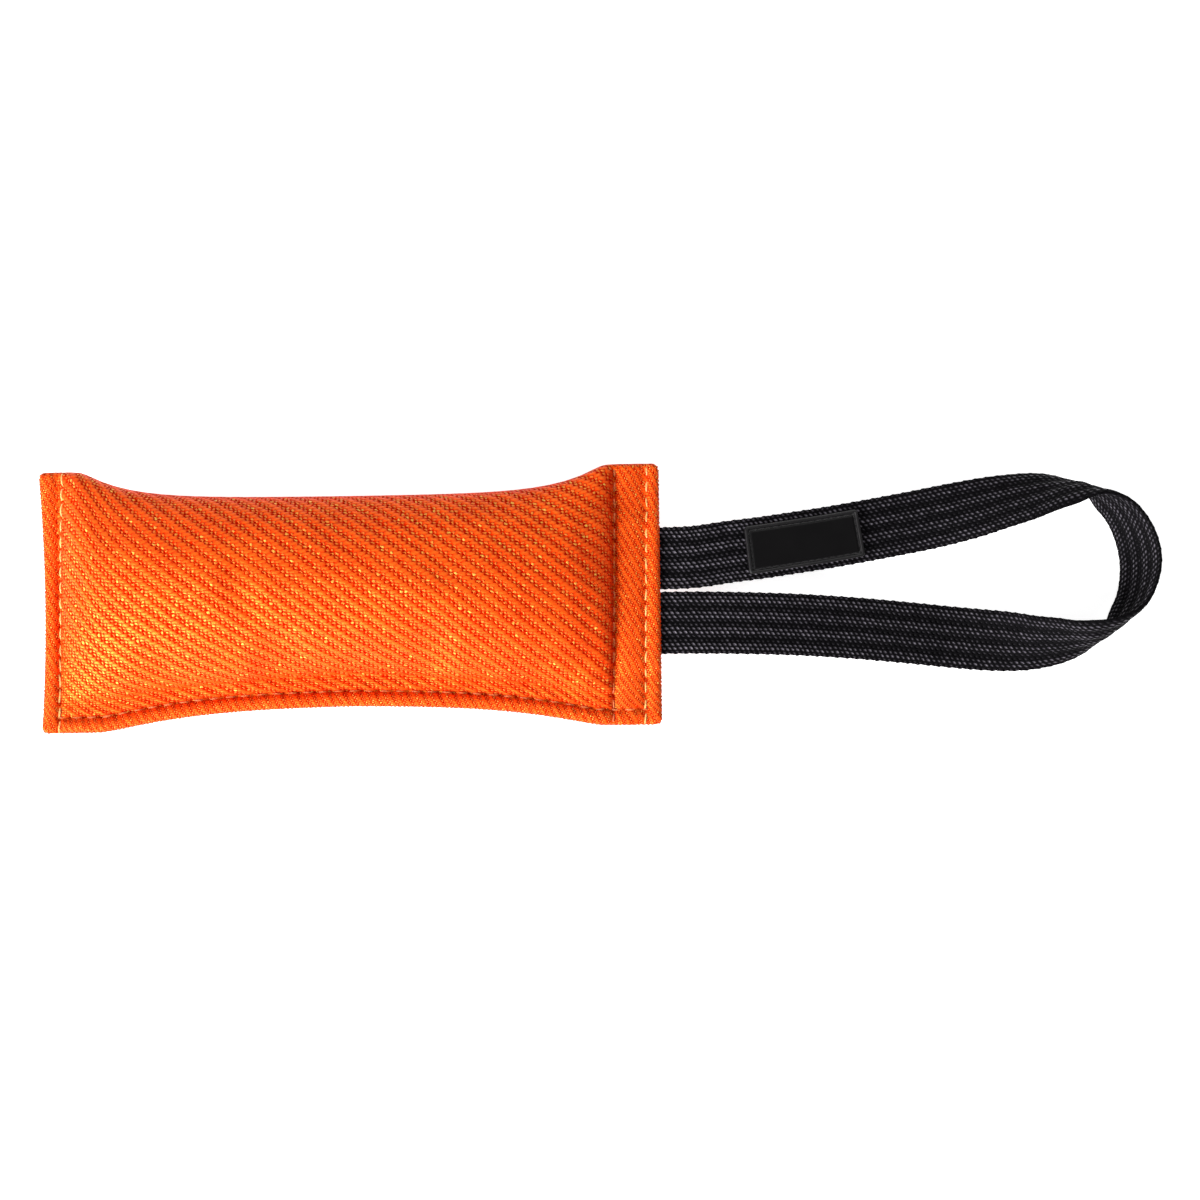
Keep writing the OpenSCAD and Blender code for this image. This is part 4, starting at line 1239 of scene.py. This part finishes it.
def stitch_tree():
    """Lays one stitch after another along a path. A stitch is a bead of thread that dips into the
    cloth at both ends, and small turns and sizes differ by chance."""
    tree = bpy.data.node_groups.new("stitch_row", "GeometryNodeTree")
    for way, name, kind in (("INPUT", "Path", "Geometry"), ("INPUT", "Count", "Int"),
                            ("INPUT", "Length", "Float"), ("INPUT", "Diameter", "Float"),
                            ("INPUT", "Dip", "Float"), ("INPUT", "Seed", "Int"),
                            ("INPUT", "Thread", "Material"), ("OUTPUT", "Stitches", "Geometry")):
        tree.interface.new_socket(name, in_out=way, socket_type="NodeSocket" + kind)
    ask = add(tree, "NodeGroupInput").outputs
    # the bead: a line bent down at its ends, with a round section
    half = add(tree, MATH, {0: ask["Length"], 1: 0.5}, operation="MULTIPLY")
    back = add(tree, MATH, {0: half, 1: -1.0}, operation="MULTIPLY")
    deep = add(tree, MATH, {0: ask["Dip"], 1: -1.0}, operation="MULTIPLY")
    start = add(tree, "ShaderNodeCombineXYZ", {"X": back, "Z": deep})
    stop = add(tree, "ShaderNodeCombineXYZ", {"X": half, "Z": deep})
    crown = add(tree, "ShaderNodeCombineXYZ", {"Z": ask["Dip"]})
    arc = add(tree, "GeometryNodeCurveQuadraticBezier",
              {"Resolution": BEAD_STEPS, "Start": start, "Middle": crown, "End": stop})
    radius = add(tree, MATH, {0: ask["Diameter"], 1: 0.5}, operation="MULTIPLY")
    ring = add(tree, "GeometryNodeCurvePrimitiveCircle",
               {"Resolution": BEAD_SIDES, "Radius": radius})
    bead = add(tree, "GeometryNodeCurveToMesh",
               {"Curve": arc, "Profile Curve": ring, "Fill Caps": True})
    # the row
    line = add(tree, "GeometryNodeMeshToCurve", {"Mesh": ask["Path"]})
    evenly = add(tree, "GeometryNodeResampleCurve", {"Curve": line, "Count": ask["Count"]},
                 mode="COUNT")
    along = add(tree, "GeometryNodeInputTangent")
    up = add(tree, "GeometryNodeInputNamedAttribute", {"Name": "away"}, data_type="FLOAT_VECTOR")
    turn = add(tree, "FunctionNodeAlignRotationToVector", {"Vector": along}, axis="X")
    turn = add(tree, "FunctionNodeAlignRotationToVector", {"Rotation": turn, "Vector": up},
               axis="Z", pivot_axis="X")
    tilt = add(tree, "FunctionNodeRandomValue",
               {0: (0.0, -0.06, -0.12), 1: (0.0, 0.06, 0.12), "Seed": ask["Seed"]},
               data_type="FLOAT_VECTOR")
    lean = add(tree, "FunctionNodeEulerToRotation", {0: tilt})
    turn = add(tree, "FunctionNodeRotateRotation", {"Rotation": turn, "Rotate By": lean},
               rotation_space="LOCAL")
    size = add(tree, "FunctionNodeRandomValue",
               {0: (0.88, 0.85, 0.85), 1: (1.06, 1.2, 1.15), "Seed": ask["Seed"]},
               data_type="FLOAT_VECTOR")
    laid = add(tree, "GeometryNodeInstanceOnPoints",
               {"Points": evenly, "Instance": bead, "Rotation": turn, "Scale": size})
    real = add(tree, "GeometryNodeRealizeInstances", {"Geometry": laid})
    dyed = add(tree, "GeometryNodeSetMaterial", {"Geometry": real, "Material": ask["Thread"]})
    add(tree, "NodeGroupOutput", {"Stitches": dyed})
    return tree


def stitch_row(name, paths, body, values):
    """Rows of stitches along paths of places and outward directions, as one plain mesh. values
    are the stitch tree's inputs."""
    verts, edges, away = [], [], []
    for places, out in paths:
        edges += [(k, k + 1) for k in range(len(verts), len(verts) + len(places) - 1)]
        verts += [tuple(p) for p in places]
        away += [tuple(n) for n in out]
    mesh = bpy.data.meshes.new(name + "_path")
    mesh.from_pydata(verts, edges, [])
    layer = mesh.attributes.new("away", "FLOAT_VECTOR", "POINT")
    layer.data.foreach_set("vector", np.asarray(away, np.float32).ravel())
    path = new_object(name + "_path", mesh)
    rows = path.modifiers.new("stitches", "NODES")
    rows.node_group = bpy.data.node_groups.get("stitch_row") or stitch_tree()
    for item in rows.node_group.interface.items_tree:
        if item.name in values:
            rows[item.identifier] = values[item.name]
    bpy.context.view_layer.update()
    plain = bpy.data.meshes.new_from_object(evaluated(path))
    plain.name = name
    bpy.data.objects.remove(path)
    plain.shade_smooth()
    made = new_object(name, plain)
    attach(made, body)


def on_surface(line, tree, side):
    """Drops a line of (x, y) points onto the cover's upper (side 1) or lower (side -1) skin."""
    lift = 0.1 * MM
    places, out = [], []
    for x, y in line:
        start = Vector((x, y, HEM_Z + side * 60 * MM))
        hit, normal, _, _ = tree.ray_cast(start, Vector((0, 0, -side)))
        if hit is None:
            hit, normal, _, _ = tree.find_nearest(Vector((x, y, HEM_Z)))
        places.append(hit + normal * lift)
        out.append(normal)
    # the thread bridges the ribs, so its line is smoother than the cloth's
    places, out = np.array(places), np.array(out)
    for _ in range(6):
        smooth(places)
        smooth(out)
    return places, unit(out)


def build_seams():
    """The rows of stitches on both sides of the cover."""
    cover, thread = bumper().cover, bumper().thread
    tree = surface_tree("cover_cloth")
    placed = json.loads(bpy.data.objects["cover_cloth"]["seams"])
    seams = {k: [Vector(p) for p in v] for k, v in placed.items()}
    pale = thread_material("polyester_thread_gold", thread.open_thread)
    # the rows that lie deep in their furrows get the thread colour in painted shade
    shaded = thread_material("polyester_thread_orange", thread.shaded_thread)
    # the last number is how much of a stitch's length shows
    for k, (seam, material, part) in enumerate((("plain", pale, 0.74), ("long", shaded, 0.6),
                                                ("inner", shaded, 0.6), ("outer", pale, 0.66))):
        line = seam_line(seams, seam, cover)
        stitch_row("stitches_" + seam, [on_surface(line, tree, side) for side in (1, -1)], "pillow",
                   {"Count": stitch_count(line, thread.stitch) + 1, "Length": thread.stitch * part,
                    "Diameter": thread.diameter, "Dip": 0.5 * MM, "Seed": thread.seed + k,
                    "Thread": material})


def build_label_seam():
    """The black stitches in the label's groove."""
    thread = bumper().thread
    flat = np.array(label_outline(bumper().label, GROOVE_IN))
    flat = np.concatenate([flat, flat[:1]])
    places, out = label_points(bumper().webbing, flat, np.full(len(flat), GROOVE_LIFT))
    material = thread_material("polyester_thread_black", thread.label_thread)
    stitch_row("stitches_label", [(places, out)], "handle",
               {"Count": stitch_count(places, LABEL_PITCH) + 1, "Length": LABEL_STITCH,
                "Diameter": LABEL_THREAD, "Dip": LABEL_DIP, "Seed": thread.seed + 9,
                "Thread": material})


# ---- Stage ----

# Each lamp's name, setting, size, direction round and up in degrees, and distance from its aim
LAMPS = (("key_lamp", "key", 0.9, 222, 25, 1.3), ("fill_lamp", "fill", 1.4, 72, 38, 1.9))
AIM = (0.05, 0.0, 0.01)
# Half the floor's side, and how far it lies under the table's height
FLOOR_HALF, FLOOR_DROP = 4, 0.05 * MM


def seen_by(tree, *rays):
    """1 for these kinds of ray and 0 for all others."""
    path = add(tree, "ShaderNodeLightPath")
    either = path.outputs[rays[0]]
    for ray in rays[1:]:
        either = add(tree, MATH, {0: either, 1: path.outputs[ray]}, operation="MAXIMUM")
    return either


def floor_material(stage):
    """Matt painted board with a fine grain. It glows only as the camera, reflections and clear
    parts see it, so that it shows pale and throws no more soft light on the bumper."""
    made = bpy.data.materials.new("studio_floor")
    tree = emptied(made)
    place = add(tree, "ShaderNodeTexCoord").outputs["Object"]
    grain = add(tree, NOISE, {"Vector": place, "Scale": 900.0})
    bump = add(tree, "ShaderNodeBump", {"Strength": 0.05, "Distance": 0.1 * MM,
                                        "Height": grain.outputs["Fac"]})
    matt = add(tree, "ShaderNodeBsdfDiffuse", {"Color": tuple(stage.floor), "Normal": bump})
    either = seen_by(tree, "Is Camera Ray", "Is Glossy Ray", "Is Transmission Ray")
    lift = add(tree, MATH, {0: either, 1: 0.7}, operation="MULTIPLY")
    glow = add(tree, "ShaderNodeEmission", {"Strength": lift})
    both = add(tree, "ShaderNodeAddShader", {0: matt, 1: glow})
    add(tree, "ShaderNodeOutputMaterial", {"Surface": both})
    return made


def build_stage():
    """Pale floor, soft lamps and the camera."""
    stage, scene = bumper().stage, bpy.context.scene
    scene.view_settings.view_transform = "Standard"
    mesh = bpy.data.meshes.new("floor")
    corners = [(x * FLOOR_HALF, y * FLOOR_HALF, 0) for x, y in ((-1, -1), (1, -1), (1, 1), (-1, 1))]
    mesh.from_pydata(corners, [], [(0, 1, 2, 3)])
    mesh.materials.append(floor_material(stage))
    floor = new_object("floor", mesh)
    floor.location.z = -FLOOR_DROP
    floor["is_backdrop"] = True
    # even light from all round, which the camera sees as white
    scene.world = bpy.data.worlds.new("studio")
    tree = emptied(scene.world)
    either = seen_by(tree, "Is Camera Ray", "Is Transmission Ray")
    level = add(tree, MIX, {0: either, 2: stage.sky, 3: 1.0}, data_type="FLOAT")
    sky = add(tree, "ShaderNodeBackground", {"Color": (1, 1, 1, 1), "Strength": level})
    add(tree, "ShaderNodeOutputWorld", {"Surface": sky})
    for name, power, size, azimuth, elevation, far in LAMPS:
        lamp = bpy.data.lights.new(name, "AREA")
        lamp.energy = getattr(stage, power)
        lamp.shape = "DISK"
        lamp.size = size
        stand = new_object(name, lamp)
        az, el = math.radians(azimuth), math.radians(elevation)
        way = Vector((math.cos(az) * math.cos(el), math.sin(az) * math.cos(el), math.sin(el)))
        stand.location = Vector(AIM) + way * far
        stand.rotation_euler = way.to_track_quat("Z", "Y").to_euler()
    lens = bpy.data.cameras.new("camera")
    lens.lens = stage.lens
    lens.sensor_width = stage.sensor
    lens.sensor_fit = "AUTO"
    lens.clip_start = 0.01
    lens.clip_end = 50
    camera = new_object("camera", lens)
    camera.matrix_world = Matrix.Translation(stage.camera_place) @ camera_turn(stage).to_4x4()
    scene.camera = camera


# ---- Where the image points ended up ----

def write_points():
    """Works out, in pixels, where the shown pieces, the rows of stitches near their image points
    and the label show, and keeps none of it.
    """
    stage = bumper().stage
    reach = 14
    bpy.context.view_layer.update()
    outline = np.concatenate([seen_at(positions(o.data), stage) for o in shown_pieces()
                              if o.type == "MESH" and not o.hide_render])
    for seam, names in SEAM_POINTS.items():
        row = positions(bpy.data.objects["stitches_" + seam].data)
        seen = seen_at(row[row[:, 2] > HEM_Z], stage)
        for name in names:
            point = POINTS[name]
            close = seen[np.linalg.norm(seen - np.array(point), axis=1) < reach]
            at = list(close.mean(0)) if len(close) else [None, None]
            # a row's place counts across it
            along = 0 if seam == "long" else 1
            at[along] = point[along]
    seen = seen_at(positions(bpy.data.objects["rubber_label"].data), stage)


# ---- Operators, panel and running ----

class BUMPER_OT_stage(bpy.types.Operator):
    """Sets up the floor, the lamps and the camera"""
    bl_idname = "bumper.stage"
    bl_label = "Stage"

    def execute(self, context):
        build_stage()
        return {"FINISHED"}


class BUMPER_OT_cover(bpy.types.Operator):
    """Builds the stuffed twill cover"""
    bl_idname = "bumper.cover"
    bl_label = "Cover"

    def execute(self, context):
        build_cover()
        return {"FINISHED"}


class BUMPER_OT_filling(bpy.types.Operator):
    """Gives the filling its wadding material"""
    bl_idname = "bumper.filling"
    bl_label = "Filling"

    def execute(self, context):
        node = frame["nodes"]["filling"]
        node.data.materials.clear()
        node.data.materials.append(wadding_material())
        return {"FINISHED"}


class BUMPER_OT_webbing(bpy.types.Operator):
    """Builds the webbing from its sewn ends round the loop"""
    bl_idname = "bumper.webbing"
    bl_label = "Webbing"

    def execute(self, context):
        build_webbing()
        return {"FINISHED"}


class BUMPER_OT_label(bpy.types.Operator):
    """Builds the rubber label and the stitches in its groove"""
    bl_idname = "bumper.label"
    bl_label = "Label"

    def execute(self, context):
        build_label()
        build_label_seam()
        return {"FINISHED"}


class BUMPER_OT_seams(bpy.types.Operator):
    """Sews the rows of stitches along the cover's hems"""
    bl_idname = "bumper.seams"
    bl_label = "Seams"

    def execute(self, context):
        build_seams()
        return {"FINISHED"}


class BUMPER_PT_panel(bpy.types.Panel):
    """Lists the bumper's settings and pieces"""
    bl_label = "Training bumper"
    bl_space_type = "VIEW_3D"
    bl_region_type = "UI"
    bl_category = "Bumper"

    def draw(self, context):
        for part, operator in (("cover", "bumper.cover"), ("webbing", "bumper.webbing"),
                               ("label", "bumper.label"), ("thread", "bumper.seams"),
                               ("stage", "bumper.stage")):
            box = self.layout.box()
            group = getattr(context.scene.bumper, part)
            for name in group.__annotations__:
                box.prop(group, name)
            box.operator(operator)
        self.layout.operator("bumper.filling")


CLASSES = (CoverSettings, WebbingSettings, LabelSettings, ThreadSettings, StageSettings,
           BumperSettings, BUMPER_OT_stage, BUMPER_OT_cover, BUMPER_OT_filling, BUMPER_OT_webbing,
           BUMPER_OT_label, BUMPER_OT_seams, BUMPER_PT_panel)


def register():
    for item in CLASSES:
        bpy.utils.register_class(item)
    bpy.types.Scene.bumper = PointerProperty(type=BumperSettings)


def unregister():
    del bpy.types.Scene.bumper
    for item in reversed(CLASSES):
        bpy.utils.unregister_class(item)


def main():
    register()
    bpy.ops.bumper.stage()
    bpy.ops.bumper.cover()
    bpy.ops.bumper.filling()
    bpy.ops.bumper.webbing()
    bpy.ops.bumper.label()
    bpy.ops.bumper.seams()
    write_points()


if __name__ == "__main__":
    main()
